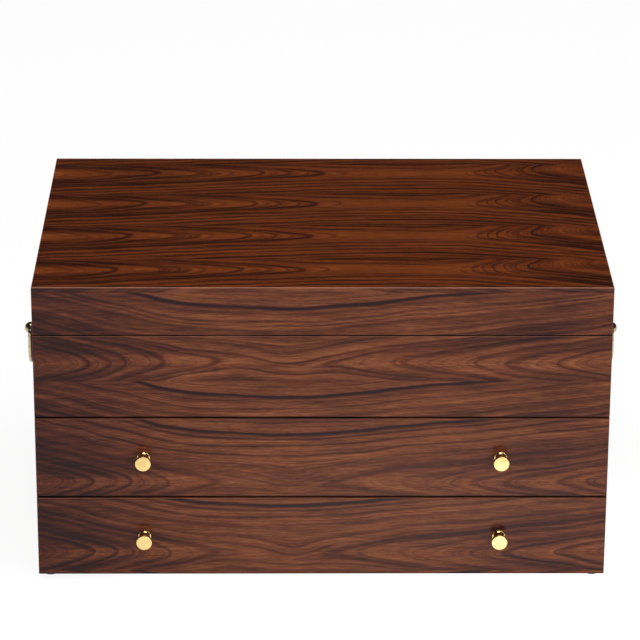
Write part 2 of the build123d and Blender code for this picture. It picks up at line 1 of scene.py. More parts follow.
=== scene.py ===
# %% [markdown]
# # A walnut jewellery chest with a lift lid and two drawers
# The chest is a veneered box: a lid with a mirror, an open compartment under it, and two drawers on
# runners. Every part was built in CAD and arrives here as a fixed frame. This lesson sets up the studio,
# gives each part its finish, and puts finer knobs, ring rolls, lid pad and mirror in place of plain ones.

# %% Load the frame
import math

import bmesh
import bpy
from mathutils import Matrix, Vector


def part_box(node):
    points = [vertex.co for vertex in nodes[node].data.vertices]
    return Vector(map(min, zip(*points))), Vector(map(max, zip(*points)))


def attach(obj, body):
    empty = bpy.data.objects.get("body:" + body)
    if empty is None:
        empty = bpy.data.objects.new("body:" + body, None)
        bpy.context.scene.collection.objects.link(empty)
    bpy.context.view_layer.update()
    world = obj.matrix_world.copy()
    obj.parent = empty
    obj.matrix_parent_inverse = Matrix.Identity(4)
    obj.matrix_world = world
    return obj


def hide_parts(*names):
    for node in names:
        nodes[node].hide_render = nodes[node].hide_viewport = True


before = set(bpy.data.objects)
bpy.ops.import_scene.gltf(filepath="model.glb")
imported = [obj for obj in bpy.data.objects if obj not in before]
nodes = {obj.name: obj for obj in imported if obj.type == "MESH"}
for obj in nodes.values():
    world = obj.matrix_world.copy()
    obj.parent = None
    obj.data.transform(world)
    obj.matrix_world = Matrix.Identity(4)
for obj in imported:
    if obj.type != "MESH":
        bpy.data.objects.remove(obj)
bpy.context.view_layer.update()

MM = 0.001

# %% [markdown]
# ## The camera
# A chest like this is shown on a pale sweep of paper, from the front and a little above, so that the
# veneer on its top shows too. A short lens close by would make the top run together sharply. A long
# lens from well back keeps the chest's sides nearly parallel.

# %% Camera
scene = bpy.context.scene
scene.view_settings.view_transform = "Standard"

CAMERA_PLACE = Vector((-0.0269, -2.3827, 1.0804))
CAMERA_DOWN = 21.29  # degrees below level
CAMERA_TURN = -0.637  # degrees from straight back, counted to the left, so this is to the right
CAMERA_ROLL = 0.245
CAMERA_LENS = 187.4  # mm, for a sensor 36 mm wide

camera_data = bpy.data.cameras.new("studio_camera")
camera_data.lens = CAMERA_LENS
camera_data.sensor_width = 36.0
camera = bpy.data.objects.new("studio_camera", camera_data)
turn = Matrix.Rotation(math.radians(CAMERA_TURN), 4, "Z")
tilt = Matrix.Rotation(math.radians(90.0 - CAMERA_DOWN), 4, "X")
roll = Matrix.Rotation(math.radians(CAMERA_ROLL), 4, "Z")
camera.matrix_world = Matrix.Translation(CAMERA_PLACE) @ turn @ tilt @ roll
scene.collection.objects.link(camera)
scene.camera = camera
print("the camera stands", round(CAMERA_PLACE.length, 2), "m away")

# %% [markdown]
# ## Building shaders in code
# A shader is a tree of small nodes. A few helpers keep that readable: one sets a socket or links it,
# one adds a Math node, and one starts a group with named sockets. A group is a function for materials:
# it is built once and then placed in each material with its own values.
#
# The patterns here are all worked out from where a point lies on the closed chest. So they stay with a
# part when it moves, and they match from one part to the next.


# %% Numbers and vectors in a shader tree
def feed(tree, socket, source):
    """Sets a socket to a plain value, or links it to another node's output."""
    if isinstance(source, bpy.types.NodeSocket):
        tree.links.new(source, socket)
    else:
        socket.default_value = source


def calc(tree, operation, *sources, clamp=False):
    """One Math node. Returns its output."""
    node = tree.nodes.new("ShaderNodeMath")
    node.operation = operation
    node.use_clamp = clamp
    for socket, source in zip(node.inputs, sources):
        feed(tree, socket, source)
    return node.outputs[0]


def stack(tree, x, y, z):
    """Three numbers as one vector."""
    node = tree.nodes.new("ShaderNodeCombineXYZ")
    for socket, source in zip(node.inputs, (x, y, z)):
        feed(tree, socket, source)
    return node.outputs[0]


def split_up(tree, vector):
    """One vector as three numbers."""
    node = tree.nodes.new("ShaderNodeSeparateXYZ")
    feed(tree, node.inputs[0], vector)
    return list(node.outputs)


def scaled(tree, along, across, length, width, step):
    """A place on wood, divided by the length and width of its streaks. step picks a new pattern."""
    return stack(tree, calc(tree, "DIVIDE", along, length), calc(tree, "DIVIDE", across, width), step)


print("sums in a shader take a tree, an operation and their sources")


# %% Patterns and colours in a shader tree
def noise(tree, vector, scale=1.0, detail=2.0, roughness=0.5, dimensions="3D", distortion=0.0):
    """A Noise Texture, which gives about 0.5 on average. Returns the node."""
    node = tree.nodes.new("ShaderNodeTexNoise")
    node.noise_dimensions = dimensions
    feed(tree, node.inputs["W" if dimensions == "1D" else "Vector"], vector)
    node.inputs["Scale"].default_value = scale
    node.inputs["Detail"].default_value = detail
    node.inputs["Roughness"].default_value = roughness
    node.inputs["Distortion"].default_value = distortion
    return node


def ramp(tree, source, stops, ease="LINEAR"):
    """A Color Ramp from (place, colour) stops. Returns its colour."""
    node = tree.nodes.new("ShaderNodeValToRGB")
    node.color_ramp.interpolation = ease
    marks = node.color_ramp.elements
    while len(marks) < len(stops):
        marks.new(0.5)
    for mark, (place, shade) in zip(marks, stops):
        mark.position = place
        mark.color = shade
    feed(tree, node.inputs[0], source)
    return node.outputs["Color"]


def between(tree, source, low, high, new_low=0.0, new_high=1.0, smooth=True):
    """A Map Range node: low..high becomes new_low..new_high, and no further."""
    node = tree.nodes.new("ShaderNodeMapRange")
    node.interpolation_type = "SMOOTHSTEP" if smooth else "LINEAR"
    for socket, value in zip(node.inputs, (source, low, high, new_low, new_high)):
        feed(tree, socket, value)
    return node.outputs[0]


def blend_colours(tree, amount, first, second, way="MIX"):
    """A Mix node for colours. Returns its result."""
    node = tree.nodes.new("ShaderNodeMix")
    node.data_type = "RGBA"
    node.blend_type = way
    node.clamp_factor = True
    feed(tree, node.inputs["Factor"], amount)
    feed(tree, [s for s in node.inputs if s.name == "A" and s.type == "RGBA"][0], first)
    feed(tree, [s for s in node.inputs if s.name == "B" and s.type == "RGBA"][0], second)
    return [s for s in node.outputs if s.type == "RGBA"][0]


def colour(red, green, blue):
    """A screen colour, 0 to 255 a channel, as the linear values that shaders use."""

    def linear(channel):
        share = channel / 255.0
        return share / 12.92 if share <= 0.04045 else ((share + 0.055) / 1.055) ** 2.4

    return (linear(red), linear(green), linear(blue), 1.0)


print("a middle grey of 128 is", round(colour(128, 128, 128)[0], 3), "to a shader")


# %% Groups
def new_group(name, inputs, outputs):
    """A shader node group. Returns its tree, what comes in by name, and where results go by name."""
    tree = bpy.data.node_groups.new(name, "ShaderNodeTree")
    kinds = {"value": "NodeSocketFloat", "vector": "NodeSocketVector", "colour": "NodeSocketColor"}
    for label, (kind, start) in inputs.items():
        socket = tree.interface.new_socket(label, in_out="INPUT", socket_type=kinds[kind])
        if start is not None:
            socket.default_value = start
    for label, kind in outputs.items():
        tree.interface.new_socket(label, in_out="OUTPUT", socket_type=kinds[kind])
    entry = tree.nodes.new("NodeGroupInput")
    result = tree.nodes.new("NodeGroupOutput")
    return tree, entry.outputs, result.inputs


def place_group(tree, group, **sources):
    """Places a group in a tree. An underscore in a name stands for a space. Returns its outputs."""
    node = tree.nodes.new("ShaderNodeGroup")
    node.node_tree = group
    for label, source in sources.items():
        feed(tree, node.inputs[label.replace("_", " ").capitalize()], source)
    return node.outputs


print("a group is made once and placed in many materials")


# %% Materials
def new_material(name):
    """An empty material with a Principled BSDF. Returns the material, its tree and the shader."""
    material = bpy.data.materials.new(name)
    material.use_nodes = True
    tree = material.node_tree
    return material, tree, tree.nodes["Principled BSDF"]


def chest_place(tree):
    """Where a point lies on the closed chest, in metres."""
    return tree.nodes.new("ShaderNodeTexCoord").outputs["Object"]


def chest_facing(tree):
    """Which way a point's face looks on the closed chest."""
    return tree.nodes.new("ShaderNodeTexCoord").outputs["Normal"]


def bump(tree, shader, height, distance, strength=1.0):
    """Feeds a height, 0 to 1 over that distance in metres, to the shader's normal."""
    node = tree.nodes.new("ShaderNodeBump")
    node.inputs["Distance"].default_value = distance
    node.inputs["Strength"].default_value = strength
    feed(tree, node.inputs["Height"], height)
    tree.links.new(node.outputs["Normal"], shader.inputs["Normal"])


print("a material starts from a Principled BSDF")

# %% [markdown]
# ## World and lamps
# The chest stands in a studio with large soft lamps. The world gives an even fill, as white walls do, and
# two wide lamps give the shape: one overhead, and one low in front that the knobs mirror. The camera sees
# the world as plain white. Polished things see white paper low down and the dark of the room above it,
# because brass that reflects nothing dark looks like paint.

# %% World
PAPER_EDGE_LOW = -0.02  # sine of the elevation at which white paper starts to turn into room
PAPER_EDGE_HIGH = 0.02
ROOM_DARK = 0.03  # how bright the room is in polished metal and lacquer
FILL_LIGHT = 0.62  # how bright the world is as a light

world = bpy.data.worlds.new("studio")
scene.world = world
world.use_nodes = True
tree = world.node_tree
tree.nodes.clear()
direction = tree.nodes.new("ShaderNodeTexCoord").outputs["Generated"]
upward = split_up(tree, direction)[2]
room = between(tree, upward, PAPER_EDGE_LOW, PAPER_EDGE_HIGH, 1.0, ROOM_DARK)
path = tree.nodes.new("ShaderNodeLightPath")
seen_in_gloss = calc(tree, "MAXIMUM", path.outputs["Is Glossy Ray"], path.outputs["Is Transmission Ray"])
strength = calc(tree, "MULTIPLY_ADD", seen_in_gloss, calc(tree, "SUBTRACT", room, FILL_LIGHT), FILL_LIGHT)
strength = calc(tree, "MAXIMUM", strength, path.outputs["Is Camera Ray"])
sky = tree.nodes.new("ShaderNodeBackground")
sky.inputs["Color"].default_value = (1.0, 1.0, 1.0, 1.0)
tree.links.new(strength, sky.inputs["Strength"])
tree.links.new(sky.outputs[0], tree.nodes.new("ShaderNodeOutputWorld").inputs[0])
print("the world lights the chest at", FILL_LIGHT, "and shows", ROOM_DARK, "in polished brass")

# %% Lamps
LAMPS = {
    # name: (place, width, depth, watts)
    "overhead_softbox": (Vector((0.1, -0.25, 1.5)), 1.0, 0.7, 8.0),
    "front_softbox": (Vector((0.9, -1.8, 0.55)), 1.2, 1.0, 13.0),
}
AIM = Vector((0.0, 0.0, 0.1))
for name, (place, width, depth, watts) in LAMPS.items():
    light = bpy.data.lights.new(name, "AREA")
    light.shape = "RECTANGLE"
    light.size = width
    light.size_y = depth
    light.energy = watts
    lamp = bpy.data.objects.new(name, light)
    turn = (AIM - place).to_track_quat("-Z", "Y").to_matrix().to_4x4()
    lamp.matrix_world = Matrix.Translation(place) @ turn
    scene.collection.objects.link(lamp)
    print(name, "stands", round((place - AIM).length, 2), "m from the chest")

# %% [markdown]
# ## The floor
# A sheet of pale paper. Most of what the camera and polished surfaces see of it is a glow, which turns
# it white, and the rest is lit by the lamps, so the chest's shadow still shows. In front of the chest,
# right of the middle, the glow is stronger, as where a lamp makes a pool of light on paper. It can't be
# told from the white round it, but the knobs and the lacquer mirror it. Light that bounces off the paper
# onto the chest takes no part in this, so the glow gives the chest no light of its own.

# %% Sheet of paper
FLOOR_SIZE = 12.0


def object_from(bm, name):
    """Turns a finished bmesh into an object in the scene. Returns the object."""
    mesh = bpy.data.meshes.new(name)
    bm.to_mesh(mesh)
    bm.free()
    piece = bpy.data.objects.new(name, mesh)
    scene.collection.objects.link(piece)
    return piece


bm = bmesh.new()
bmesh.ops.create_grid(bm, x_segments=1, y_segments=1, size=FLOOR_SIZE / 2)
floor = object_from(bm, "paper_floor")
print("the paper is", FLOOR_SIZE, "m wide")

# %% Paper that turns white, with a pool of light
PAPER_GLOW = 0.80  # how much of the paper's look is glow
GLOW_STRENGTH = 1.08
POOL_CENTRE = Vector((0.10, -0.28))
POOL_RADIUS = 0.18
POOL_STRENGTH = 1.5

material, tree, shader = new_material("studio_paper")
shader.inputs["Base Color"].default_value = (0.82, 0.82, 0.82, 1.0)
shader.inputs["Roughness"].default_value = 0.9
shader.inputs["Specular IOR Level"].default_value = 0.0
path = tree.nodes.new("ShaderNodeLightPath")
seen = calc(tree, "MAXIMUM", path.outputs["Is Camera Ray"], path.outputs["Is Transmission Ray"])
seen = calc(tree, "MAXIMUM", seen, path.outputs["Is Glossy Ray"])
glow = tree.nodes.new("ShaderNodeEmission")
x, y, z = split_up(tree, tree.nodes.new("ShaderNodeTexCoord").outputs["Object"])
off_x = calc(tree, "DIVIDE", calc(tree, "SUBTRACT", x, POOL_CENTRE.x), POOL_RADIUS)
off_y = calc(tree, "DIVIDE", calc(tree, "SUBTRACT", y, POOL_CENTRE.y), POOL_RADIUS)
away = calc(tree, "MULTIPLY_ADD", off_x, off_x, calc(tree, "MULTIPLY", off_y, off_y))
pool = calc(tree, "EXPONENT", calc(tree, "MULTIPLY", away, -1.0))
feed(tree, glow.inputs["Strength"], calc(tree, "MULTIPLY_ADD", pool, POOL_STRENGTH, GLOW_STRENGTH))
mixer = tree.nodes.new("ShaderNodeMixShader")
tree.links.new(calc(tree, "MULTIPLY", seen, PAPER_GLOW), mixer.inputs[0])
tree.links.new(shader.outputs[0], mixer.inputs[1])
tree.links.new(glow.outputs[0], mixer.inputs[2])
tree.links.new(mixer.outputs[0], tree.nodes["Material Output"].inputs["Surface"])
floor.data.materials.append(material)
print("the pool of light is", round(2 * POOL_RADIUS, 2), "m wide")

# %% [markdown]
# ## Walnut veneer
# The outside of the chest is covered with crown-cut walnut veneer. Each leaf is a slice through the
# growth rings, and the next leaf is the next slice, so the same figure repeats across the panel with
# a fine joint between. The rings show as nested arches down the middle of a leaf, pointing towards
# each other from both ends, and as long lines beside them.
#
# A picture of wood could be wrapped round the box, but here the figure is worked out. A height is
# given to each point of a leaf, with a saddle in the middle and a valley out to each end, and the rings
# are its contour lines, as on a map. The late wood and the dark veins follow that height.


# %% Which way the veneer runs on a face
def make_veneer_plane():
    """Distances in mm along and across the grain, picked by the way a face looks."""
    tree, entry, result = new_group(
        "veneer plane",
        {"Place": ("vector", None), "Facing": ("vector", None)},
        {
            "Along": "value",
            "Across": "value",
            "Upward": "value",  # 1 on a top face
            "Upper edge": "value",  # 1 on a rounded upper edge
            "Lower edge": "value",
        },
    )
    x, y, z = [calc(tree, "DIVIDE", part, MM) for part in split_up(tree, entry["Place"])]
    towards = [calc(tree, "ABSOLUTE", part) for part in split_up(tree, entry["Facing"])]
    to_side = calc(tree, "GREATER_THAN", towards[0], calc(tree, "MAXIMUM", towards[1], towards[2]))
    to_top = calc(tree, "GREATER_THAN", towards[2], calc(tree, "MAXIMUM", towards[0], towards[1]))
    along = calc(tree, "MULTIPLY_ADD", to_side, calc(tree, "SUBTRACT", y, x), x)
    down = calc(tree, "MULTIPLY", z, -1.0)
    forward = calc(tree, "MULTIPLY", y, -1.0)
    across = calc(tree, "MULTIPLY_ADD", to_top, calc(tree, "SUBTRACT", forward, down), down)
    widest = calc(tree, "MAXIMUM", calc(tree, "MAXIMUM", towards[0], towards[1]), towards[2])
    tilt = split_up(tree, entry["Facing"])[2]
    feed(tree, result["Along"], along)
    feed(tree, result["Across"], across)
    feed(tree, result["Upward"], to_top)
    # A rounded edge looks neither straight up nor straight out.
    rounded = between(tree, widest, 0.99, 0.86)
    feed(tree, result["Upper edge"], calc(tree, "MULTIPLY", rounded, calc(tree, "GREATER_THAN", tilt, 0.1)))
    feed(tree, result["Lower edge"], calc(tree, "MULTIPLY", rounded, calc(tree, "LESS_THAN", tilt, -0.1)))
    return tree


veneer_plane = make_veneer_plane()
print("veneer plane has", len(veneer_plane.nodes), "nodes")


# %% The warp that makes a figure look grown
DIP_LENGTH = 26.0  # mm from the saddle
DIP_WIDTH = 14.0


def add_warp(tree, along, within, step, sway):
    """Slow noise that bends a figure. Returns how far it moves along the leaf, and across it, in mm."""
    slow_noise = noise(tree, scaled(tree, along, within, 62.0, 26.0, step), detail=1.0)
    fine_noise = noise(tree, scaled(tree, along, within, 24.0, 8.0, step), detail=2.0)
    slow = [calc(tree, "SUBTRACT", part, 0.5) for part in split_up(tree, slow_noise.outputs["Color"])]
    fine = calc(tree, "SUBTRACT", split_up(tree, fine_noise.outputs["Color"])[0], 0.5)
    move_along = calc(tree, "MULTIPLY", slow[0], calc(tree, "MULTIPLY", sway, 3.2))
    move_across = calc(tree, "MULTIPLY", slow[1], sway)
    ripple = calc(tree, "MULTIPLY", fine, calc(tree, "MULTIPLY", sway, 0.06))
    return move_along, calc(tree, "ADD", move_across, ripple)


def add_dip(tree, from_saddle, off_axis, dip):
    """Near the saddle the lines dip across the axis. Returns the distance from the axis after that."""
    lengthways = calc(tree, "POWER", calc(tree, "DIVIDE", from_saddle, DIP_LENGTH), 2.0)
    crossways = calc(tree, "POWER", calc(tree, "DIVIDE", off_axis, DIP_WIDTH), 2.0)
    bell = calc(tree, "EXPONENT", calc(tree, "MULTIPLY", calc(tree, "ADD", lengthways, crossways), -1.0))
    return calc(tree, "SUBTRACT", off_axis, calc(tree, "MULTIPLY", bell, dip))


print("the dip is", 2 * DIP_LENGTH, "mm long and", 2 * DIP_WIDTH, "mm wide")


# %% The figure of one leaf, as a height map
SHOULDER_EASE = 8.0  # mm over which a flat middle turns into a flank
FLATTEST = 0.02  # keeps a vein from vanishing at the very tip of an arch


def make_leaf_figure():
    """The height, in mm of wood, of each point of a run of matched veneer leaves."""
    tree, entry, result = new_group(
        "leaf figure",
        {
            "Along": ("value", 0.0),
            "Across": ("value", 0.0),  # from a joint between two leaves
            "Leaf width": ("value", 65.0),
            "Axis": ("value", 50.0),  # from the joint to the middle of the arches
            "Saddle": ("value", 0.0),  # where along the leaf the arches from both ends meet
            "Drift": ("value", 0.0),  # how far the figure moves along from leaf to leaf
            "Left rise": ("value", 0.5),  # how steeply the height falls away to that end
            "Left start": ("value", 84.0),  # how far from the saddle that begins
            "Left ease": ("value", 80.0),  # over what length it begins
            "Right rise": ("value", 0.16),
            "Right start": ("value", 30.0),
            "Right ease": ("value", 64.0),
            "Tip": ("value", 12.0),  # how round the arches are
            "Blunt": ("value", 0.0),  # how much of a flat middle they have, 0 to 1
            "Shoulder": ("value", 12.0),  # half the width of that flat middle
            "Dip": ("value", 9.0),  # how far the lines dip across the axis near the saddle
            "Swerve": ("value", 0.0),  # how much the arches on the right turn across the leaf
            "Sway": ("value", 10.0),  # how much slow noise bends the lines
            "Seed": ("value", 0.0),
        },
        {
            "Height": "value",
            "Steepness": "value",  # how fast the height changes across the leaf, 1 on a flank
            "Leaf": "value",
            "Along": "value",
            "Within": "value",
            "Seam": "value",
        },
    )
    turns = calc(tree, "DIVIDE", entry["Across"], entry["Leaf width"])
    leaf = calc(tree, "FLOOR", turns)
    within = calc(tree, "MULTIPLY", calc(tree, "SUBTRACT", turns, leaf), entry["Leaf width"])
    slice_step = calc(tree, "MULTIPLY_ADD", leaf, 0.22, entry["Seed"])
    warp_along, warp_across = add_warp(tree, entry["Along"], within, slice_step, entry["Sway"])
    along = calc(tree, "ADD", entry["Along"], warp_along)
    along = calc(tree, "SUBTRACT", along, calc(tree, "MULTIPLY", leaf, entry["Drift"]))
    from_saddle = calc(tree, "SUBTRACT", along, entry["Saddle"])
    off_axis = calc(tree, "ADD", calc(tree, "SUBTRACT", within, entry["Axis"]), warp_across)
    off_axis = add_dip(tree, from_saddle, off_axis, entry["Dip"])

    # How far each point lies past the start of the slope at its end of the leaf.
    past_start = {}
    for side, sign in (("Left", -1.0), ("Right", 1.0)):
        past = calc(tree, "SUBTRACT", calc(tree, "MULTIPLY", from_saddle, sign), entry[side + " start"])
        past_start[side] = calc(tree, "SMOOTH_MAX", past, 0.0, entry[side + " ease"])
    off_axis = calc(tree, "MULTIPLY_ADD", past_start["Right"], entry["Swerve"], off_axis)

    # Across the leaf the height is a rounded valley, and a blunt one has a flat floor as well.
    tip_squared = calc(tree, "MULTIPLY", entry["Tip"], entry["Tip"])
    valley = calc(tree, "SQRT", calc(tree, "MULTIPLY_ADD", off_axis, off_axis, tip_squared))
    slope = calc(tree, "DIVIDE", off_axis, valley)
    steepness = calc(tree, "SQRT", calc(tree, "MULTIPLY_ADD", slope, slope, FLATTEST))
    valley = calc(tree, "SUBTRACT", valley, entry["Tip"])
    past_shoulder = calc(tree, "SUBTRACT", calc(tree, "ABSOLUTE", off_axis), entry["Shoulder"])
    blunt_valley = calc(tree, "SMOOTH_MAX", past_shoulder, 0.0, SHOULDER_EASE)
    height = calc(tree, "MULTIPLY_ADD", calc(tree, "SUBTRACT", blunt_valley, valley), entry["Blunt"], valley)

    # Along the leaf the height falls away to both ends.
    for side, distance in past_start.items():
        height = calc(tree, "SUBTRACT", height, calc(tree, "MULTIPLY", distance, entry[side + " rise"]))
    nearest_joint = calc(tree, "MINIMUM", within, calc(tree, "SUBTRACT", entry["Leaf width"], within))
    feed(tree, result["Height"], height)
    feed(tree, result["Steepness"], steepness)
    feed(tree, result["Leaf"], leaf)
    feed(tree, result["Along"], along)
    feed(tree, result["Within"], within)
    feed(tree, result["Seam"], between(tree, nearest_joint, 0.0, 0.22, 1.0, 0.0))
    return tree


leaf_figure = make_leaf_figure()
print("leaf figure has", len(leaf_figure.nodes), "nodes")


# %% [markdown]
# A year of growth is pale early wood and darker late wood that ends in a thin dark line. Years differ,
# so a noise of the height alone gives each year its own width and tone. Streaks and pores are noise
# too, but stretched along the leaf, because wood fibres and vessels run that way.


# %% Years of growth
def add_years(tree, tone, years, uneven, seed):
    """Wide and narrow years in four steps of fineness. Returns the tone with them."""
    bands = 0.0
    for crowding, weight in ((0.32, 1.0), (1.0, 0.7), (2.3, 1.1), (5.4, 1.1)):
        start = calc(tree, "MULTIPLY_ADD", seed, 3.7, crowding * 9.0)
        place = calc(tree, "MULTIPLY_ADD", years, crowding, start)
        band = calc(tree, "SUBTRACT", noise(tree, place, detail=0.0, dimensions="1D").outputs[0], 0.5)
        bands = calc(tree, "ADD", calc(tree, "MULTIPLY", band, weight), bands)
    return calc(tree, "MULTIPLY_ADD", bands, uneven, tone)


def add_late_wood(tree, tone, years, uneven, steepness, seed):
    """The thin dark lines that end a year, stronger in some years than in others."""
    for crowding, strength in ((0.6, 1.3), (1.5, 1.0), (3.4, 0.65)):
        start = calc(tree, "MULTIPLY_ADD", seed, 5.1, crowding * 4.0)
        place = calc(tree, "MULTIPLY_ADD", years, crowding, start)
        wander = noise(tree, place, detail=0.0, dimensions="1D").outputs[0]
        off_line = calc(tree, "ABSOLUTE", calc(tree, "SUBTRACT", wander, 0.5))
        line = between(tree, calc(tree, "DIVIDE", off_line, steepness), 0.09, 0.0)
        line = calc(tree, "MULTIPLY", calc(tree, "MULTIPLY", line, uneven), strength)
        tone = calc(tree, "SUBTRACT", tone, line)
    return tone


print("years are drawn in bands and lines")


# %% Growth rings, streaks and pores
# Each row is the length, width and weight of one sort of streak: colour drift first, fibres last.
STREAKS = ((110.0, 13.0, 0.44), (42.0, 3.2, 0.3), (18.0, 1.1, 0.44), (7.0, 0.45, 0.5))
PORE_LENGTH = 4.2
PORE_WIDTH = 0.28


def make_ring_tone():
    """How light the wood is, 0 dark to 1 light, and how deep its pores are."""
    tree, entry, result = new_group(
        "ring tone",
        {
            "Height": ("value", 0.0),
            "Steepness": ("value", 1.0),
            "Along": ("value", 0.0),
            "Within": ("value", 0.0),
            "Leaf": ("value", 0.0),
            "Ring width": ("value", 3.0),
            "Contrast": ("value", 0.42),
            "Middle": ("value", 0.6),
            "Seed": ("value", 0.0),
        },
        {"Tone": "value", "Pores": "value"},
    )
    along = entry["Along"]
    within = entry["Within"]
    slice_step = calc(tree, "MULTIPLY_ADD", entry["Leaf"], 0.2, entry["Seed"])
    years = calc(tree, "DIVIDE", entry["Height"], entry["Ring width"])
    patchy = noise(tree, scaled(tree, along, within, 50.0, 14.0, slice_step), detail=1.0).outputs[0]
    uneven = calc(tree, "MULTIPLY", calc(tree, "MULTIPLY_ADD", patchy, 1.5, 0.15), entry["Contrast"])
    tone = add_years(tree, entry["Middle"], years, uneven, entry["Seed"])
    tone = add_late_wood(tree, tone, years, uneven, entry["Steepness"], entry["Seed"])
    for length, width, weight in STREAKS:
        place = scaled(tree, along, within, length, width, slice_step)
        streak = calc(tree, "SUBTRACT", noise(tree, place, detail=1.0).outputs[0], 0.5)
        tone = calc(tree, "MULTIPLY_ADD", streak, weight, tone)

    # Pores are short dark dashes, where vessels are cut open along the grain.
    place = scaled(tree, along, within, PORE_LENGTH, PORE_WIDTH, slice_step)
    pores = between(tree, noise(tree, place, detail=0.0).outputs[0], 0.62, 0.78)
    feed(tree, result["Tone"], calc(tree, "MULTIPLY_ADD", pores, -0.22, tone))
    feed(tree, result["Pores"], pores)
    return tree


ring_tone = make_ring_tone()
print("ring tone has", len(ring_tone.nodes), "nodes")


# %% One dark vein
def make_vein():
    """A dark line along one contour, sharp on its upper side and soft on its lower side. Where the
    height changes slowly the line is kept from spreading."""
    tree, entry, result = new_group(
        "dark vein",
        {
            "Height": ("value", 0.0),
            "Steepness": ("value", 1.0),
            "Along": ("value", 0.0),
            "At": ("value", 0.0),
            "Width": ("value", 1.0),
            "Depth": ("value", 0.4),
        },
        {"Dark": "value"},
    )
    reach = calc(tree, "MULTIPLY", entry["Width"], entry["Steepness"])
    away = calc(tree, "DIVIDE", calc(tree, "SUBTRACT", entry["Height"], entry["At"]), reach)
    soft_side = calc(tree, "LESS_THAN", away, 0.0)
    away = calc(tree, "MULTIPLY", away, calc(tree, "MULTIPLY_ADD", soft_side, -0.55, 1.0))
    line = calc(tree, "EXPONENT", calc(tree, "MULTIPLY", calc(tree, "MULTIPLY", away, away), -1.0))
    place = calc(tree, "MULTIPLY_ADD", entry["At"], 5.3, calc(tree, "DIVIDE", entry["Along"], 75.0))
    fading = between(tree, noise(tree, place, detail=1.0, dimensions="1D").outputs[0], 0.3, 0.6, 0.6, 1.15)
    feed(tree, result["Dark"], calc(tree, "MULTIPLY", calc(tree, "MULTIPLY", line, fading), entry["Depth"]))
    return tree


dark_vein = make_vein()
print("dark vein has", len(dark_vein.nodes), "nodes")

# %% [markdown]
# The front, the back and the ends are cut from one log, and the top from another with larger leaves, so
# the top has its own values. The lines a person notices first are a few dark veins, and each is one row:
# the height of its contour, its width in mm on a flank, and how dark it is. Heights above zero lie
# beside the arches, and heights below zero are the arches themselves, the lowest nearest to the ends.
# "shades" runs from the darkest to the lightest wood, and "dark end" darkens the left end of a leaf.

# %% The front's log
FRONT_LOG = {
    "figure": {
        "Leaf width": 65.3,
        "Axis": 50.3,
        "Saddle": -20.0,
        "Left rise": 0.23,
        "Left start": 72.0,
        "Left ease": 60.0,
        "Right rise": 0.115,
        "Right start": 30.0,
        "Right ease": 70.0,
        "Tip": 9.0,
        "Dip": 8.0,
        "Sway": 7.0,
    },
    "tone": {"Ring width": 3.6, "Contrast": 0.13, "Middle": 0.68},
    "veins": (
        (30.8, 0.7, 1.0),
        (26.5, 0.6, 0.22),
        (21.0, 0.6, 0.26),
        (14.5, 0.7, 0.18),
        (7.0, 0.8, 0.2),
        (1.5, 0.7, 0.14),
        (-1.0, 1.1, 0.3),
        (-5.4, 1.1, 0.34),
        (-11.4, 1.1, 0.26),
        (-14.4, 1.2, 0.32),
        (-18.6, 1.2, 0.26),
    ),
    "dark end": 0.24,
    "shades": (
        (0.0, colour(40, 21, 21)),
        (0.25, colour(66, 31, 22)),
        (0.5, colour(93, 48, 31)),
        (0.75, colour(122, 69, 42)),
        (1.0, colour(152, 92, 58)),
    ),
}
print("the front's leaves are", FRONT_LOG["figure"]["Leaf width"], "mm wide")

# %% The top's log
TOP_LOG = {
    "figure": {
        "Leaf width": 72.7,
        "Axis": 22.0,
        "Saddle": 73.0,
        "Drift": -6.0,
        "Left rise": 0.12,
        "Left start": 58.0,
        "Left ease": 100.0,
        "Right rise": 0.42,
        "Right start": 46.0,
        "Right ease": 50.0,
        "Tip": 17.0,
        "Blunt": 0.4,
        "Shoulder": 9.0,
        "Dip": 2.0,
        "Swerve": 0.18,
        "Sway": 7.0,
    },
    "tone": {"Ring width": 3.0, "Contrast": 0.2, "Middle": 0.68},
    "veins": (
        (35.6, 0.5, 1.0),
        (30.5, 0.6, 0.4),
        (25.0, 0.8, 0.5),
        (18.0, 0.9, 0.45),
        (11.0, 0.9, 0.4),
        (4.0, 0.9, 0.4),
        (-3.2, 1.0, 0.44),
        (-5.2, 0.8, 0.34),
        (-7.6, 1.0, 0.44),
        (-11.0, 1.1, 0.3),
        (-14.5, 1.1, 0.36),
        (-18.0, 1.2, 0.4),
        (-22.0, 1.2, 0.3),
    ),
    "dark end": 0.0,
    "shades": (
        (0.0, colour(40, 13, 5)),
        (0.25, colour(62, 24, 9)),
        (0.5, colour(88, 39, 14)),
        (0.75, colour(111, 52, 18)),
        (1.0, colour(134, 68, 24)),
    ),
}
print("the top's leaves are", TOP_LOG["figure"]["Leaf width"], "mm wide")


# %% One log's leaves on a plane
DARK_END_START = -90.0  # mm from the middle of the leaf
DARK_END_FULL = -215.0
SEAM_DARK = 0.10


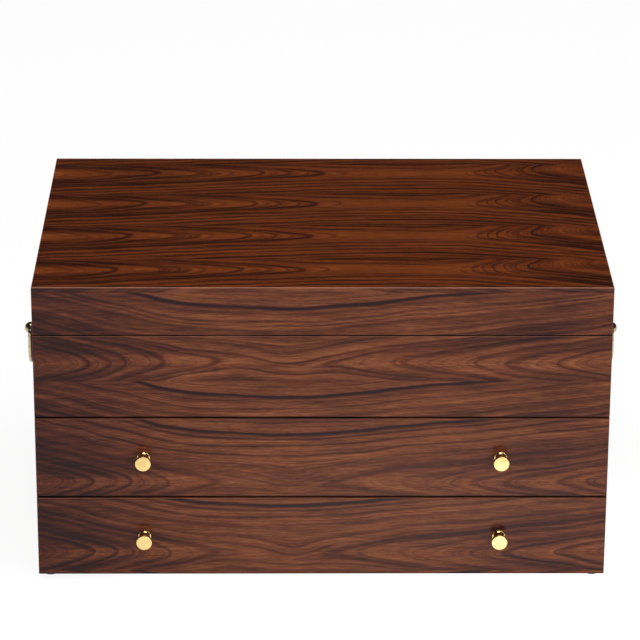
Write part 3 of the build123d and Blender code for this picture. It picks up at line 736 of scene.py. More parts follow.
def leaf_tone(tree, log, plane, joint, seed, shift):
    """Lays one log's leaves on a plane. Returns the tone, the pores and the seams between leaves."""
    figure = tree.nodes.new("ShaderNodeGroup")
    figure.node_tree = leaf_figure
    for label, value in log["figure"].items():
        figure.inputs[label].default_value = value
    figure.inputs["Seed"].default_value = seed
    feed(tree, figure.inputs["Along"], calc(tree, "SUBTRACT", plane["Along"], shift))
    feed(tree, figure.inputs["Across"], calc(tree, "SUBTRACT", plane["Across"], joint))
    wood = tree.nodes.new("ShaderNodeGroup")
    wood.node_tree = ring_tone
    for label, value in log["tone"].items():
        wood.inputs[label].default_value = value
    wood.inputs["Seed"].default_value = seed
    for label in ("Height", "Steepness", "Along", "Within", "Leaf"):
        feed(tree, wood.inputs[label], figure.outputs[label])
    tone = wood.outputs["Tone"]
    for at, width, depth in log["veins"]:
        vein = place_group(
            tree,
            dark_vein,
            height=figure.outputs["Height"],
            steepness=figure.outputs["Steepness"],
            along=figure.outputs["Along"],
            at=at,
            width=width,
            depth=depth,
        )
        tone = calc(tree, "SUBTRACT", tone, vein["Dark"])
    tone = calc(tree, "MULTIPLY_ADD", figure.outputs["Seam"], -SEAM_DARK, tone)
    if log["dark end"]:
        # Darker towards the left end of each leaf.
        dark_end_share = between(tree, figure.outputs["Along"], DARK_END_START, DARK_END_FULL)
        tone = calc(tree, "MULTIPLY_ADD", dark_end_share, -log["dark end"], tone)
    return tone, wood.outputs["Pores"], figure.outputs["Seam"]


print("a front has", len(FRONT_LOG["veins"]), "veins to a leaf")

# %% [markdown]
# Lacquer lies over the veneer in a thin even coat, so the wood stays glossy but its pores can be felt.
# The upper edges are rounded over and painted pale: a painted highlight for the overhead light that
# catches them. The lower edges at the gaps between the fronts are painted near black as painted shade,
# so that the gaps look like fine black lines.

# %% Lacquered veneer
# Painted highlight: the pale colour laid on rounded upper edges, where the overhead light would catch them.
PAINTED_EDGE_HIGHLIGHT = colour(176, 128, 108)
# Painted shade: the near black laid on rounded lower edges, where the gaps between the fronts lie in shade.
PAINTED_GAP_SHADE = colour(14, 8, 7)
# How strongly the painted shade darkens the lower edges.
GAP_SHADE_STRENGTH = 0.92


def veneer(name, log, joint, seed=0.0, shift=0.0, edge_highlight=0.2, top_log=None, top_joint=0.0, top_seed=0.0):
    """Lacquered veneer. joint is where two leaves meet, in mm across the grain: minus the height on a
    wall. A board whose upper face is cut from another log gives that log and its joint too."""
    material, tree, shader = new_material(name)
    plane = place_group(tree, veneer_plane, place=chest_place(tree), facing=chest_facing(tree))
    tone, pores, seam = leaf_tone(tree, log, plane, joint, seed, shift)
    base = ramp(tree, tone, log["shades"])
    if top_log:
        top_tone, top_pores, top_seam = leaf_tone(tree, top_log, plane, top_joint, top_seed, 0.0)
        base = blend_colours(tree, plane["Upward"], base, ramp(tree, top_tone, top_log["shades"]))
        tone = calc(tree, "MULTIPLY_ADD", plane["Upward"], calc(tree, "SUBTRACT", top_tone, tone), tone)
        pores = calc(tree, "MULTIPLY_ADD", plane["Upward"], calc(tree, "SUBTRACT", top_pores, pores), pores)
        seam = calc(tree, "MULTIPLY_ADD", plane["Upward"], calc(tree, "SUBTRACT", top_seam, seam), seam)
    # A painted highlight on the upper edges, then painted shade on the lower edges.
    base = blend_colours(tree, calc(tree, "MULTIPLY", plane["Upper edge"], edge_highlight), base, PAINTED_EDGE_HIGHLIGHT)
    gap_shade = calc(tree, "MULTIPLY", plane["Lower edge"], GAP_SHADE_STRENGTH)
    feed(tree, shader.inputs["Base Color"], blend_colours(tree, gap_shade, base, PAINTED_GAP_SHADE))
    gloss = calc(tree, "MULTIPLY_ADD", pores, 0.12, 0.17)
    feed(tree, shader.inputs["Roughness"], calc(tree, "MULTIPLY_ADD", tone, 0.04, gloss))
    shader.inputs["Specular IOR Level"].default_value = 0.15
    relief = calc(tree, "MULTIPLY_ADD", pores, -1.0, 1.0)
    bump(tree, shader, calc(tree, "MULTIPLY_ADD", seam, -0.5, relief), 0.00003, 0.5)
    return material


# The upper edges carry a painted highlight and the lower edges painted shade.
print("edges are rubbed above and stained below")


# %% Veneer on the lid
def finish_nodes(material, *names):
    """Gives CAD nodes one material in all their slots."""
    for name in names:
        mesh = nodes[name].data
        if not mesh.materials:
            mesh.materials.append(material)
        for index in range(len(mesh.materials)):
            mesh.materials[index] = material


def top_of(name):
    """The height of a node's top edge, in mm."""
    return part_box(name)[1].z / MM


LID_JOINT = 4.0  # how far below the lid's top edge two leaves meet, in mm
# How strong the painted highlight is on the lid's upper edges, stronger than on the other fronts.
LID_EDGE_HIGHLIGHT = 0.55
TOP_JOINT_FROM_BACK = 88.0
lid_joint = LID_JOINT - top_of("lid_top")
top_joint = TOP_JOINT_FROM_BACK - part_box("lid_back")[1].y / MM
lid_wall = veneer("walnut veneer, lid walls", FRONT_LOG, lid_joint, seed=1.3, edge_highlight=LID_EDGE_HIGHLIGHT)
lid_board = veneer(
    "walnut veneer, lid top",
    FRONT_LOG,
    lid_joint,
    seed=1.3,
    edge_highlight=LID_EDGE_HIGHLIGHT,
    top_log=TOP_LOG,
    top_joint=top_joint,
    top_seed=4.2,
)
finish_nodes(lid_wall, "lid_front", "lid_back", "lid_side_left", "lid_side_right")
finish_nodes(lid_board, "lid_top")
print("the lid's joint lies at", round(-lid_joint, 1), "mm")

# %% Veneer on the case and the drawer fronts
CASE_JOINT = 35.2  # how far below a panel's top edge two leaves meet, in mm
UPPER_DRAWER_JOINT = 0.0
LOWER_DRAWER_JOINT = -6.3  # above its top edge, so the joint itself was cut away
upper_wall = veneer("walnut veneer, upper front", FRONT_LOG, CASE_JOINT - top_of("upper_front"), seed=1.45)
upper_drawer = veneer(
    "walnut veneer, upper drawer", FRONT_LOG, UPPER_DRAWER_JOINT - top_of("upper_drawer_front"), seed=1.6
)
lower_drawer = veneer(
    "walnut veneer, lower drawer", FRONT_LOG, LOWER_DRAWER_JOINT - top_of("lower_drawer_front"), seed=1.7
)
case_end = veneer(
    "walnut veneer, ends", FRONT_LOG, CASE_JOINT - top_of("case_side_left"), seed=2.9, shift=30.0
)
finish_nodes(upper_wall, "upper_front")
finish_nodes(upper_drawer, "upper_drawer_front")
finish_nodes(lower_drawer, "lower_drawer_front")
finish_nodes(case_end, "case_side_left", "case_side_right", "case_back")
print("the upper front's joint lies at", round(top_of("upper_front") - CASE_JOINT, 1), "mm")

# %% [markdown]
# ## Plain boards
# The drawer boxes, shelf and floors are sawn from a lighter wood and only sealed, so they show straight
# grain, a few rings and fine fibres, and no lacquer. This pattern is solid: it fills space, stretched
# along the grain, so an end of a board shows end grain without any more work. The front edges of the
# shelf and floors lie just behind the gaps between the fronts, and there they are painted near black as
# painted shade, so that the gaps look dark.


# %% Straight grain
BOARD_STREAKS = ((160.0, 22.0, 0.5), (70.0, 4.5, 0.5), (24.0, 1.3, 0.4), (8.0, 0.45, 0.35))
FIBRE_LENGTH = 5.0
FIBRE_WIDTH = 0.3


def make_board_grain():
    """Tone, 0 dark to 1 light, and fibres of a plain board. Place is in metres with its grain along X."""
    tree, entry, result = new_group(
        "board grain",
        {"Place": ("vector", None), "Seed": ("value", 0.0)},
        {"Tone": "value", "Fibres": "value"},
    )
    along, across, through = [calc(tree, "DIVIDE", part, MM) for part in split_up(tree, entry["Place"])]
    across = calc(tree, "ADD", across, calc(tree, "MULTIPLY", entry["Seed"], 31.0))
    tone = 0.5
    for length, width, weight in BOARD_STREAKS:
        place = scaled(tree, along, across, length, width, calc(tree, "DIVIDE", through, width))
        streak = calc(tree, "SUBTRACT", noise(tree, place, detail=1.0).outputs[0], 0.5)
        tone = calc(tree, "MULTIPLY_ADD", streak, weight, tone)
    place = scaled(tree, along, across, FIBRE_LENGTH, FIBRE_WIDTH, calc(tree, "DIVIDE", through, FIBRE_WIDTH))
    fibres = between(tree, noise(tree, place, detail=0.0).outputs[0], 0.6, 0.76)
    feed(tree, result["Tone"], calc(tree, "MULTIPLY_ADD", fibres, -0.18, tone))
    feed(tree, result["Fibres"], fibres)
    return tree


board_grain = make_board_grain()
print("board grain has", len(board_grain.nodes), "nodes")

# %% Sealed boards, with their grain along either side of the chest
# Painted shade: the near black laid on the front edges of the floors, behind the gaps between the fronts.
BOARD_GAP_SHADE = colour(16, 10, 8)
BOARD_GAP_SHADE_DEPTH = 6.0 * MM


def plain_board(name, along_depth, seed, gap_shade_edge=None):
    """A sealed board. along_depth is true where the grain runs from front to back. In front of the given
    edge it is painted near black, a painted shade, so that it doesn't show through the gaps between the
    fronts."""
    material, tree, shader = new_material(name)
    x, y, z = split_up(tree, chest_place(tree))
    grain_place = stack(tree, y, x, z) if along_depth else stack(tree, x, y, z)
    grain = place_group(tree, board_grain, place=grain_place, seed=seed)
    shades = (
        (0.1, colour(120, 84, 56)),
        (0.4, colour(158, 118, 82)),
        (0.65, colour(181, 142, 102)),
        (0.95, colour(200, 164, 124)),
    )
    base = ramp(tree, grain["Tone"], shades)
    if gap_shade_edge is not None:
        # Painted shade in front of the edge.
        base = blend_colours(tree, between(tree, y, gap_shade_edge, gap_shade_edge - MM), base, BOARD_GAP_SHADE)
    feed(tree, shader.inputs["Base Color"], base)
    feed(tree, shader.inputs["Roughness"], calc(tree, "MULTIPLY_ADD", grain["Fibres"], 0.12, 0.48))
    shader.inputs["Specular IOR Level"].default_value = 0.35
    bump(tree, shader, calc(tree, "SUBTRACT", 1.0, grain["Fibres"]), 0.00005, 0.6)
    return material


runner_board = plain_board("sealed board, along the depth", True, 0.4)
finish_nodes(runner_board, "drawer_runners", "drawer_stops")
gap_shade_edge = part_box("drawer_shelf")[0].y + BOARD_GAP_SHADE_DEPTH
floor_board = plain_board("sealed board, along the width", False, 0.9, gap_shade_edge)
finish_nodes(floor_board, "case_bottom", "drawer_shelf", "compartment_floor")
for number, drawer in enumerate(("upper_drawer", "lower_drawer")):
    lengthways = plain_board(f"sealed board, {drawer} sides", True, 1.3 + number)
    crossways = plain_board(f"sealed board, {drawer} back", False, 2.1 + number)
    finish_nodes(lengthways, f"{drawer}_side_left", f"{drawer}_side_right")
    finish_nodes(crossways, f"{drawer}_back", f"{drawer}_bottom")
# The depth printed is that of the painted shade on the front edges of the floors.
print("the floors are stained", round(BOARD_GAP_SHADE_DEPTH / MM, 1), "mm deep at the front")

# %% [markdown]
# ## Suede
# The inside is covered in short suede. Its nap lies in patches that look lighter or darker as a hand
# has brushed them, and close up it is a fine fuzz. Sheen on the shader gives the soft light that such
# fibres catch at their edges.


# %% Nap
def make_nap():
    """Brushed patches and fine fuzz, each 0 to 1."""
    tree, entry, result = new_group(
        "suede nap", {"Place": ("vector", None)}, {"Brushed": "value", "Fuzz": "value"}
    )
    patches = noise(tree, entry["Place"], scale=42.0, detail=3.0, roughness=0.55, distortion=0.6).outputs[0]
    drift = noise(tree, entry["Place"], scale=160.0, detail=2.0).outputs[0]
    brushed = calc(tree, "MULTIPLY_ADD", drift, 0.35, calc(tree, "MULTIPLY", patches, 0.65))
    fuzz = noise(tree, entry["Place"], scale=2600.0, detail=2.0, roughness=0.7).outputs[0]
    feed(tree, result["Brushed"], between(tree, brushed, 0.3, 0.7))
    feed(tree, result["Fuzz"], fuzz)
    return tree


nap = make_nap()
print("suede nap has", len(nap.nodes), "nodes")


# %% Suede on the linings
def suede(name, dark, light, sheen):
    """Suede of one colour, darker where the nap is brushed away from the light."""
    material, tree, shader = new_material(name)
    surface = place_group(tree, nap, place=chest_place(tree))
    base = blend_colours(tree, surface["Brushed"], dark, light)
    speckle = calc(tree, "MULTIPLY_ADD", surface["Fuzz"], 0.5, 0.75)
    grey = stack(tree, speckle, speckle, speckle)
    feed(tree, shader.inputs["Base Color"], blend_colours(tree, 1.0, base, grey, way="MULTIPLY"))
    feed(tree, shader.inputs["Roughness"], calc(tree, "MULTIPLY_ADD", surface["Brushed"], -0.08, 0.95))
    shader.inputs["Specular IOR Level"].default_value = 0.15
    shader.inputs["Sheen Weight"].default_value = sheen
    shader.inputs["Sheen Roughness"].default_value = 0.45
    bump(tree, shader, surface["Fuzz"], 0.00018, 0.7)
    return material


lining_suede = suede("lining suede", colour(163, 142, 115), colour(192, 171, 142), 0.25)
padded_suede = suede("padded suede", colour(176, 155, 127), colour(205, 186, 157), 0.35)
finish_nodes(lining_suede, "compartment_lining", "lid_lining", "upper_drawer_lining", "lower_drawer_lining")
finish_nodes(lining_suede, "compartment_dividers", "upper_drawer_dividers", "lower_drawer_dividers")
print("the linings and dividers are covered")

# %% [markdown]
# ## Brass, steel and rubber
# Knobs and hinges are polished brass under lacquer. The carrying handles have no lacquer, and hands have
# dulled them to a greyer, older brass. Polished metal is all reflection, so its colour is what it does
# to the light. Fine turning marks run round the face of a knob, and faint smudges change how sharp the
# reflection is.


# %% Handling marks on metal
def make_handling():
    """Smudges and hairline scratches, each 0 to 1."""
    tree, entry, result = new_group(
        "handling marks", {"Place": ("vector", None)}, {"Smudges": "value", "Hairlines": "value"}
    )
    smudges = noise(tree, entry["Place"], scale=210.0, detail=3.0, roughness=0.6, distortion=0.8).outputs[0]
    stretched = tree.nodes.new("ShaderNodeMapping")
    stretched.inputs["Rotation"].default_value = (0.3, 0.5, 0.7)
    stretched.inputs["Scale"].default_value = (400.0, 9000.0, 6000.0)
    feed(tree, stretched.inputs["Vector"], entry["Place"])
    hairlines = noise(tree, stretched.outputs[0], scale=1.0, detail=1.0).outputs[0]
    feed(tree, result["Smudges"], between(tree, smudges, 0.42, 0.72))
    feed(tree, result["Hairlines"], between(tree, hairlines, 0.5, 0.85))
    return tree


handling = make_handling()
print("handling marks has", len(handling.nodes), "nodes")

# %% Brass and steel
BRASS = colour(235, 205, 138)
BRASS_DULL = colour(228, 196, 125)
OLD_BRASS = colour(196, 182, 146)
OLD_BRASS_DULL = colour(150, 136, 104)
ZINC = colour(196, 198, 200)
ZINC_DULL = colour(168, 170, 170)


def polished_metal(name, shade, dull_shade, polish):
    """Plain polished metal with handling marks."""
    material, tree, shader = new_material(name)
    marks = place_group(tree, handling, place=chest_place(tree))
    feed(tree, shader.inputs["Base Color"], blend_colours(tree, marks["Smudges"], shade, dull_shade))
    shader.inputs["Metallic"].default_value = 1.0
    feed(tree, shader.inputs["Roughness"], calc(tree, "MULTIPLY_ADD", marks["Smudges"], 0.10, polish))
    bump(tree, shader, marks["Hairlines"], 0.000004, 0.6)
    return material


brass = polished_metal("polished brass", BRASS, BRASS_DULL, 0.10)
handle_brass = polished_metal("older brass, handles", OLD_BRASS, OLD_BRASS_DULL, 0.14)
steel = polished_metal("zinc plated steel", ZINC, ZINC_DULL, 0.32)
finish_nodes(handle_brass, "left_handle_posts", "right_handle_posts", "left_handle_bail", "right_handle_bail")
finish_nodes(brass, "hinge_case_leaves", "hinge_lid_leaves", "hinge_pins")
finish_nodes(brass, "hinge_case_screws", "hinge_lid_screws")
finish_nodes(steel, "handle_nuts", "upper_drawer_knob_screws", "lower_drawer_knob_screws")
print("handles, hinges, nuts and screws are finished")


# %% Turned brass
TURNING_PITCH = 0.11 * MM  # from one turning mark to the next


def turned_brass(name, centre_x, centre_z):
    """Brass with turning marks about the knob's own axis, on its flat face only."""
    material, tree, shader = new_material(name)
    place = chest_place(tree)
    marks = place_group(tree, handling, place=place)
    x, y, z = split_up(tree, place)
    off_x = calc(tree, "SUBTRACT", x, centre_x)
    off_z = calc(tree, "SUBTRACT", z, centre_z)
    squared = calc(tree, "MULTIPLY_ADD", off_x, off_x, calc(tree, "MULTIPLY", off_z, off_z))
    turns = calc(tree, "DIVIDE", calc(tree, "SQRT", squared), TURNING_PITCH)
    rings = noise(tree, turns, detail=2.0, dimensions="1D").outputs[0]
    flat_face = between(tree, split_up(tree, chest_facing(tree))[1], -0.97, -0.999)
    feed(tree, shader.inputs["Base Color"], blend_colours(tree, marks["Smudges"], BRASS, BRASS_DULL))
    shader.inputs["Metallic"].default_value = 1.0
    polish = calc(tree, "MULTIPLY_ADD", marks["Smudges"], 0.05, 0.07)
    feed(tree, shader.inputs["Roughness"], calc(tree, "MULTIPLY_ADD", flat_face, 0.12, polish))
    bump(tree, shader, calc(tree, "MULTIPLY", rings, flat_face), 0.000012, 0.6)
    return material


print("turning marks are", round(TURNING_PITCH / MM, 2), "mm apart")

# %% Rubber
material, tree, shader = new_material("moulded rubber")
speckle = noise(tree, chest_place(tree), scale=1400.0, detail=2.0).outputs[0]
feed(tree, shader.inputs["Base Color"], blend_colours(tree, speckle, colour(24, 23, 22), colour(46, 44, 42)))
feed(tree, shader.inputs["Roughness"], calc(tree, "MULTIPLY_ADD", speckle, 0.2, 0.65))
bump(tree, shader, speckle, 0.00006, 0.6)
finish_nodes(material, "rubber_feet", "lid_bumpers")
print("metal and rubber are finished")

# %% [markdown]
# ## Knobs
# A small knob catches the eye, so its outline should be truly round. The knob is turned on a lathe, and
# Spin does the same here: half of the outline goes once round the axis in fine steps. The edges of
# the head are rolled over rather than cut straight, because that thin curve is what sparkles.

# %% The outline of a knob
HEAD_THICKNESS = 3.0 * MM
RIM_ROUND = 0.45 * MM
NECK_RADIUS = 3.2 * MM
NECK_STEPS = 12
NECK_FULLNESS = 0.8  # below 1, the waist is long and even
FOOT_RADIUS = 4.75 * MM
FOOT_THICKNESS = 0.9 * MM
FOOT_ROUND = 0.3 * MM
FOOT_BEVEL = 0.2 * MM
FOOT_LEDGE = 0.9 * MM  # from the foot's rim in to where the neck starts


def quarter_turn(centre_out, centre_along, radius, start, steps=5):
    """Points of a quarter circle in the plane of a knob's outline, from a start angle in degrees."""
    points = []
    for step in range(steps + 1):
        angle = math.radians(start + 90.0 * step / steps)
        points.append((centre_out + radius * math.cos(angle), centre_along + radius * math.sin(angle)))
    return points


def knob_outline(head_radius, proud):
    """Half of a knob's outline, from the wood to the middle of its face. Each point is its radius and
    its distance from the wood."""
    head_back = proud - HEAD_THICKNESS
    outline = [(0.0, 0.0), (FOOT_RADIUS - FOOT_BEVEL, 0.0), (FOOT_RADIUS, FOOT_BEVEL)]
    outline += quarter_turn(FOOT_RADIUS - FOOT_ROUND, FOOT_THICKNESS - FOOT_ROUND, FOOT_ROUND, 0.0)
    neck_start = FOOT_THICKNESS + 0.1 * MM
    neck_length = head_back - neck_start
    for step in range(1, NECK_STEPS):
        share = step / NECK_STEPS
        waist = math.sin(math.pi * share) ** NECK_FULLNESS
        outer = FOOT_RADIUS - FOOT_LEDGE + (head_radius - FOOT_RADIUS) * share
        outline.append((outer + (NECK_RADIUS - outer) * waist, neck_start + neck_length * share))
    outline += quarter_turn(head_radius - RIM_ROUND, head_back + RIM_ROUND, RIM_ROUND, -90.0)
    outline += quarter_turn(head_radius - RIM_ROUND, proud - RIM_ROUND, RIM_ROUND, 0.0)
    outline.append((0.0, proud))
    return outline


print("a knob's outline has", len(knob_outline(6.0 * MM, 18.0 * MM)), "points")


# %% Spin an outline
KNOB_STEPS = 72
SHARPEST_SMOOTH = 35.0  # degrees, past which an edge is shown sharp


def spun(name, outline, centre, axis_end):
    """Spins an outline about a level axis that runs towards the front."""
    bm = bmesh.new()
    points = [bm.verts.new((centre.x + out, axis_end - along, centre.z)) for out, along in outline]
    edges = [bm.edges.new(pair) for pair in zip(points, points[1:])]
    bmesh.ops.spin(
        bm,
        geom=points + edges,
        cent=(centre.x, axis_end, centre.z),
        axis=(0.0, 1.0, 0.0),
        angle=math.tau,
        steps=KNOB_STEPS,
        use_merge=True,
    )
    bmesh.ops.remove_doubles(bm, verts=bm.verts, dist=0.001 * MM)
    bmesh.ops.recalc_face_normals(bm, faces=bm.faces)
    for face in bm.faces:
        face.smooth = True
    for edge in bm.edges:
        edge.smooth = edge.calc_face_angle(0.0) < math.radians(SHARPEST_SMOOTH)

    # Spin leaves its faces in no fixed order, so they are sorted by the numbers of their points.
    bm.verts.index_update()
    numbers = {face: sorted(vertex.index for vertex in face.verts) for face in bm.faces}
    bm.faces.sort(key=lambda face: numbers[face][0] * len(bm.verts) + numbers[face][-1])
    return object_from(bm, name)


print("an outline goes round in", KNOB_STEPS, "steps")

# %% Turned knobs
HEAD_TRIM = 0.955  # the turned head's width against the CAD knob's

for drawer in ("upper_drawer", "lower_drawer"):
    wood_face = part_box(f"{drawer}_front")[0].y
    for side in ("left", "right"):
        node = f"{drawer}_knob_{side}"
        low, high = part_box(node)
        middle = (low + high) / 2
        outline = knob_outline(HEAD_TRIM * (high.x - low.x) / 2, wood_face - low.y)
        knob = spun(f"{drawer}_turned_knob_{side}", outline, middle, wood_face)
        knob.data.materials.append(turned_brass(f"turned brass, {drawer} {side}", middle.x, middle.z))
        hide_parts(node)
        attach(knob, drawer)
print("a knob has", len(knob.data.polygons), "faces")

# %% [markdown]
# ## Ring rolls
# Rings are held between soft rolls that lie side by side: foam wrapped in suede, glued down and
# pressed into a bay, with rounded tops. Modelling one is easy with a bevelled box, but real foam in a
# tight cover bulges and creases a little. So each roll starts as a slightly small box with a rounded
# top, and Blender's cloth blows it up for a moment. How far a point may move is capped, so that rolls
# stay beside each other.

# %% Even quads for a cover
def apply_modifiers(piece):
    """Replaces a piece's mesh by what its modifiers make of it."""
    graph = bpy.context.evaluated_depsgraph_get()
    made = bpy.data.meshes.new_from_object(piece.evaluated_get(graph), depsgraph=graph)
    old = piece.data
    piece.modifiers.clear()
    piece.data = made
    bpy.data.meshes.remove(old)


def remesh(piece, voxel):
    """Even quads all over, which cloth needs."""
    modifier = piece.modifiers.new("even quads", "REMESH")
    modifier.mode = "VOXEL"
    modifier.voxel_size = voxel
    apply_modifiers(piece)


print("a cover is cut into even quads before it swells")


# %% Cloth that fills out a cover
SWELL_FRAMES = 20
PRESSURE = 4.0


def swell(pieces, cap):
    """Blows covers up with cloth, then holds each point to within cap of where it was."""
    starts = {piece.name: [vertex.co.copy() for vertex in piece.data.vertices] for piece in pieces}
    for piece in pieces:
        cloth = piece.modifiers.new("cover", "CLOTH")
        cloth.settings.quality = 4
        cloth.settings.mass = 0.2
        cloth.settings.tension_stiffness = 12.0
        cloth.settings.compression_stiffness = 8.0
        cloth.settings.bending_stiffness = 0.6
        cloth.settings.use_pressure = True
        cloth.settings.uniform_pressure_force = PRESSURE
        cloth.settings.effector_weights.gravity = 0.0
        cloth.collision_settings.use_collision = False
        cloth.point_cache.frame_start = 1
        cloth.point_cache.frame_end = SWELL_FRAMES
    for frame_number in range(1, SWELL_FRAMES + 1):
        scene.frame_set(frame_number)
    for piece in pieces:
        apply_modifiers(piece)
        for vertex, start in zip(piece.data.vertices, starts[piece.name]):
            move = vertex.co - start
            if move.length > cap:
                vertex.co = start + move.normalized() * cap
    scene.frame_set(1)


def hold_inside(piece, low, high):
    """Keeps every point of a piece inside a box."""
    for vertex in piece.data.vertices:
        for axis in range(3):
            vertex.co[axis] = min(max(vertex.co[axis], low[axis]), high[axis])


def finish_cover(piece, body):
    """Refines a cover once, dresses it in suede, and says what it rides on."""
    finer = piece.modifiers.new("finer", "SUBSURF")
    finer.levels = 1
    finer.render_levels = 1
    apply_modifiers(piece)
    piece.data.polygons.foreach_set("use_smooth", [True] * len(piece.data.polygons))
    piece.data.materials.clear()
    piece.data.materials.append(padded_suede)
    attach(piece, body)


print("a cover swells for", SWELL_FRAMES, "frames")


# %% The shape of one roll
ROLL_COUNT = 6
ROLL_WIDTH = 20.2 * MM
ROLL_SLACK = 0.9 * MM  # how much smaller a roll starts on each side
ROLL_ROUNDNESS = 0.46  # how much of a roll's width its rounded top takes on each side
ROLL_END_ROUND = 2.2 * MM


def box_between(low, high):
    """A bmesh box from its lowest corner to its highest."""
    bm = bmesh.new()
    bmesh.ops.create_cube(bm, size=1.0)
    bmesh.ops.scale(bm, vec=high - low, verts=bm.verts)
    bmesh.ops.translate(bm, vec=(low + high) / 2, verts=bm.verts)
    return bm


def round_off(bm, edges, width, segments):
    """Rounds some edges of a bmesh."""
    bmesh.ops.bevel(
        bm,
        geom=edges,
        offset=width,
        offset_type="OFFSET",
        affect="EDGES",
        segments=segments,
        profile=0.5,
        material=-1,
        clamp_overlap=True,
    )


def roll_boxes(node):
    """The box of each roll in a CAD node that holds a row of them."""
    low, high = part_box(node)
    pitch = (high.y - low.y - ROLL_WIDTH) / (ROLL_COUNT - 1)
    for number in range(ROLL_COUNT):
        front = low.y + pitch * number
        yield Vector((low.x, front, low.z)), Vector((high.x, front + ROLL_WIDTH, high.z))


def rough_roll(name, low, high):
    """A box with a round top, a little smaller than its bay."""
    inner_low = low + Vector((ROLL_SLACK, ROLL_SLACK, 0.0))
    inner_high = high - Vector((ROLL_SLACK, ROLL_SLACK, ROLL_SLACK))
    size = inner_high - inner_low
    middle_x = (low.x + high.x) / 2
    bm = box_between(inner_low, inner_high)
    long_top = [
        edge
        for edge in bm.edges
        if all(vertex.co.z > inner_high.z - MM for vertex in edge.verts)
        and abs(edge.verts[0].co.x - edge.verts[1].co.x) > size.x / 2
    ]
    round_off(bm, long_top, size.y * ROLL_ROUNDNESS, 8)
    round_ends = [
        edge
        for edge in bm.edges
        if all(abs(abs(vertex.co.x - middle_x) - size.x / 2) < 0.1 * MM for vertex in edge.verts)
        and any(vertex.co.z > inner_low.z + MM for vertex in edge.verts)
    ]
    round_off(bm, round_ends, ROLL_END_ROUND, 2)
    return object_from(bm, name)


print("a roll is", round(ROLL_WIDTH / MM, 1), "mm wide")

# %% Rows of rolls
ROLL_VOXEL = 2.4 * MM
rolls = []
roll_room = {}
for body, node in (("case", "compartment_ring_rolls"), ("upper_drawer", "upper_drawer_ring_rolls")):
    for number, (low, high) in enumerate(roll_boxes(node), start=1):
        roll = rough_roll(f"{body}_ring_roll_{number}", low, high)
        remesh(roll, ROLL_VOXEL)
        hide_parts(node)
        roll_room[roll.name] = (body, low, high)
        rolls.append(roll)
print(len(rolls), "rolls, each of", len(rolls[0].data.vertices), "points before swelling")

# %% Swell the rolls and crease their covers
ROLL_SWELL = 1.2 * MM
CREASE_SPACING = 9.0 * MM
CREASE_DRIFT = 23.0 * MM
CREASE_DEPTH = 0.22 * MM
swell(rolls, ROLL_SWELL)
for number, roll in enumerate(rolls):
    body, low, high = roll_room[roll.name]
    middle_y = (low.y + high.y) / 2
    for vertex in roll.data.vertices:
        # Soft creases run down the sides, and each roll's are a little out of step.
        down = (high.z - vertex.co.z) / (high.z - low.z)
        phase = vertex.co.x / CREASE_SPACING * math.tau + number * 1.7
        phase += math.sin(vertex.co.x / CREASE_DRIFT + number)
        pull = CREASE_DEPTH * math.sin(phase) * min(1.0, down * 2.0)
        vertex.co.y += pull if vertex.co.y < middle_y else -pull
    hold_inside(roll, low, high)
    finish_cover(roll, body)
print("a finished roll has", len(rolls[0].data.polygons), "faces")

# %% [markdown]
# ## The padded lid
# Round the mirror lies a flat pad of four pieces, sewn together along mitred seams at the corners, as a
# picture frame is joined. It starts as one face with a smaller face inset in it, which gives exactly
# those four pieces. The inner face is taken away for the mirror, and the rest is thickened.

# %% Four mitred pieces
PAD_SLACK = 1.2 * MM  # how much smaller the pad starts on each side
MIRROR_GAP = 0.3 * MM

pad_low, pad_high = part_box("lid_pad")
mirror_low, mirror_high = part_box("lid_mirror")
pad_middle = (pad_low + pad_high) / 2
mirror_middle = (mirror_low + mirror_high) / 2
outer = pad_high - pad_low - 2 * Vector((PAD_SLACK, PAD_SLACK, 0.0))
opening = mirror_high - mirror_low + 2 * Vector((PAD_SLACK + MIRROR_GAP, PAD_SLACK + MIRROR_GAP, 0.0))
bm = bmesh.new()
bmesh.ops.create_grid(bm, x_segments=1, y_segments=1, size=0.5)
bmesh.ops.scale(bm, vec=(outer.x, outer.y, 1.0), verts=bm.verts)
# The inset may have any width, because its corners are then moved to the opening.
bmesh.ops.inset_region(bm, faces=bm.faces[:], thickness=10 * MM, use_boundary=True)
window = [face for face in bm.faces if face.calc_center_median().length < MM][0]
for vertex in window.verts:
    vertex.co.x = math.copysign(opening.x / 2, vertex.co.x)
    vertex.co.y = math.copysign(opening.y / 2, vertex.co.y)
bmesh.ops.delete(bm, geom=[window], context="FACES_ONLY")
print("the pad is cut from", len(bm.faces), "pieces")

# %% Lid pad
PAD_VOXEL = 3.6 * MM
PAD_LIFT = 0.4 * MM  # how far above the lowest point of its CAD box the pad starts

raised = bmesh.ops.extrude_face_region(bm, geom=bm.faces[:], use_keep_orig=True)
raised_points = [item for item in raised["geom"] if isinstance(item, bmesh.types.BMVert)]
bmesh.ops.translate(bm, vec=(0.0, 0.0, pad_high.z - pad_low.z - PAD_LIFT), verts=raised_points)
bmesh.ops.translate(bm, vec=(pad_middle.x, pad_middle.y, pad_low.z + PAD_LIFT), verts=bm.verts)
bmesh.ops.recalc_face_normals(bm, faces=bm.faces)
lid_pad = object_from(bm, "lid_pad_cover")
remesh(lid_pad, PAD_VOXEL)
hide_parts("lid_pad")
print("the pad has", len(lid_pad.data.vertices), "points before swelling")

# %% Swell the pad and sew its seams
PAD_SAG = 3.0 * MM  # how far the pad may bulge below its CAD box
SEAM_DEPTH = 2.6 * MM
SEAM_HALF_WIDTH = 2.6 * MM

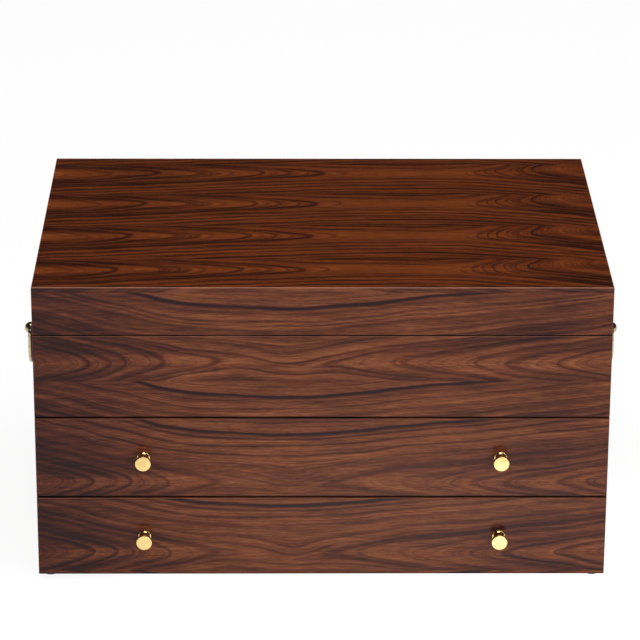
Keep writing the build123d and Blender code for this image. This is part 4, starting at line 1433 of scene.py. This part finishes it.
swell([lid_pad], PAD_SAG)
seams = []
for side_x in (-1, 1):
    for side_y in (-1, 1):
        corner = Vector((pad_middle.x + side_x * outer.x / 2, pad_middle.y + side_y * outer.y / 2))
        inner = Vector((pad_middle.x + side_x * opening.x / 2, pad_middle.y + side_y * opening.y / 2))
        seams.append((corner, inner))


def distance_to_seam(point, seam):
    """How far a point is from a straight seam, seen from above."""
    start, end = seam
    run = end - start
    share = min(max((point - start).dot(run) / run.length_squared, 0.0), 1.0)
    return (point - start - run * share).length


for vertex in lid_pad.data.vertices:
    if vertex.co.z < pad_middle.z:
        nearest = min(distance_to_seam(Vector(vertex.co[:2]), seam) for seam in seams)
        vertex.co.z += SEAM_DEPTH * math.exp(-((nearest / SEAM_HALF_WIDTH) ** 2))
hold_inside(lid_pad, pad_low - Vector((0.0, 0.0, PAD_SAG)), pad_high)
finish_cover(lid_pad, "lid")
print("the finished pad has", len(lid_pad.data.polygons), "faces")

# %% [markdown]
# ## The mirror
# A sheet of silvered glass with a shallow bevel ground round its edge, which breaks the reflection
# there. The shown face is inset, and the ring outside the inset is lifted a little.

# %% Bevelled mirror
BEVEL_WIDTH = 12.0 * MM
BEVEL_DEPTH = 0.9 * MM
bm = box_between(mirror_low, mirror_high)
shown = [face for face in bm.faces if face.normal.z < -0.5][0]
bmesh.ops.inset_region(bm, faces=[shown], thickness=BEVEL_WIDTH)
flat_points = set(shown.verts)
for vertex in bm.verts:
    if vertex.co.z < mirror_middle.z and vertex not in flat_points:
        vertex.co.z += BEVEL_DEPTH
mirror = object_from(bm, "bevelled_mirror")
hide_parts("lid_mirror")
print("the mirror is", [round(part / MM, 1) for part in mirror_high - mirror_low], "mm")

# %% Silvered glass
material, tree, shader = new_material("silvered glass")
marks = place_group(tree, handling, place=chest_place(tree))
silver = blend_colours(tree, marks["Smudges"], colour(236, 240, 239), colour(229, 234, 233))
feed(tree, shader.inputs["Base Color"], silver)
shader.inputs["Metallic"].default_value = 1.0
feed(tree, shader.inputs["Roughness"], calc(tree, "MULTIPLY_ADD", marks["Smudges"], 0.02, 0.015))
mirror.data.materials.append(material)
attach(mirror, "lid")
print("the mirror rides on the lid")
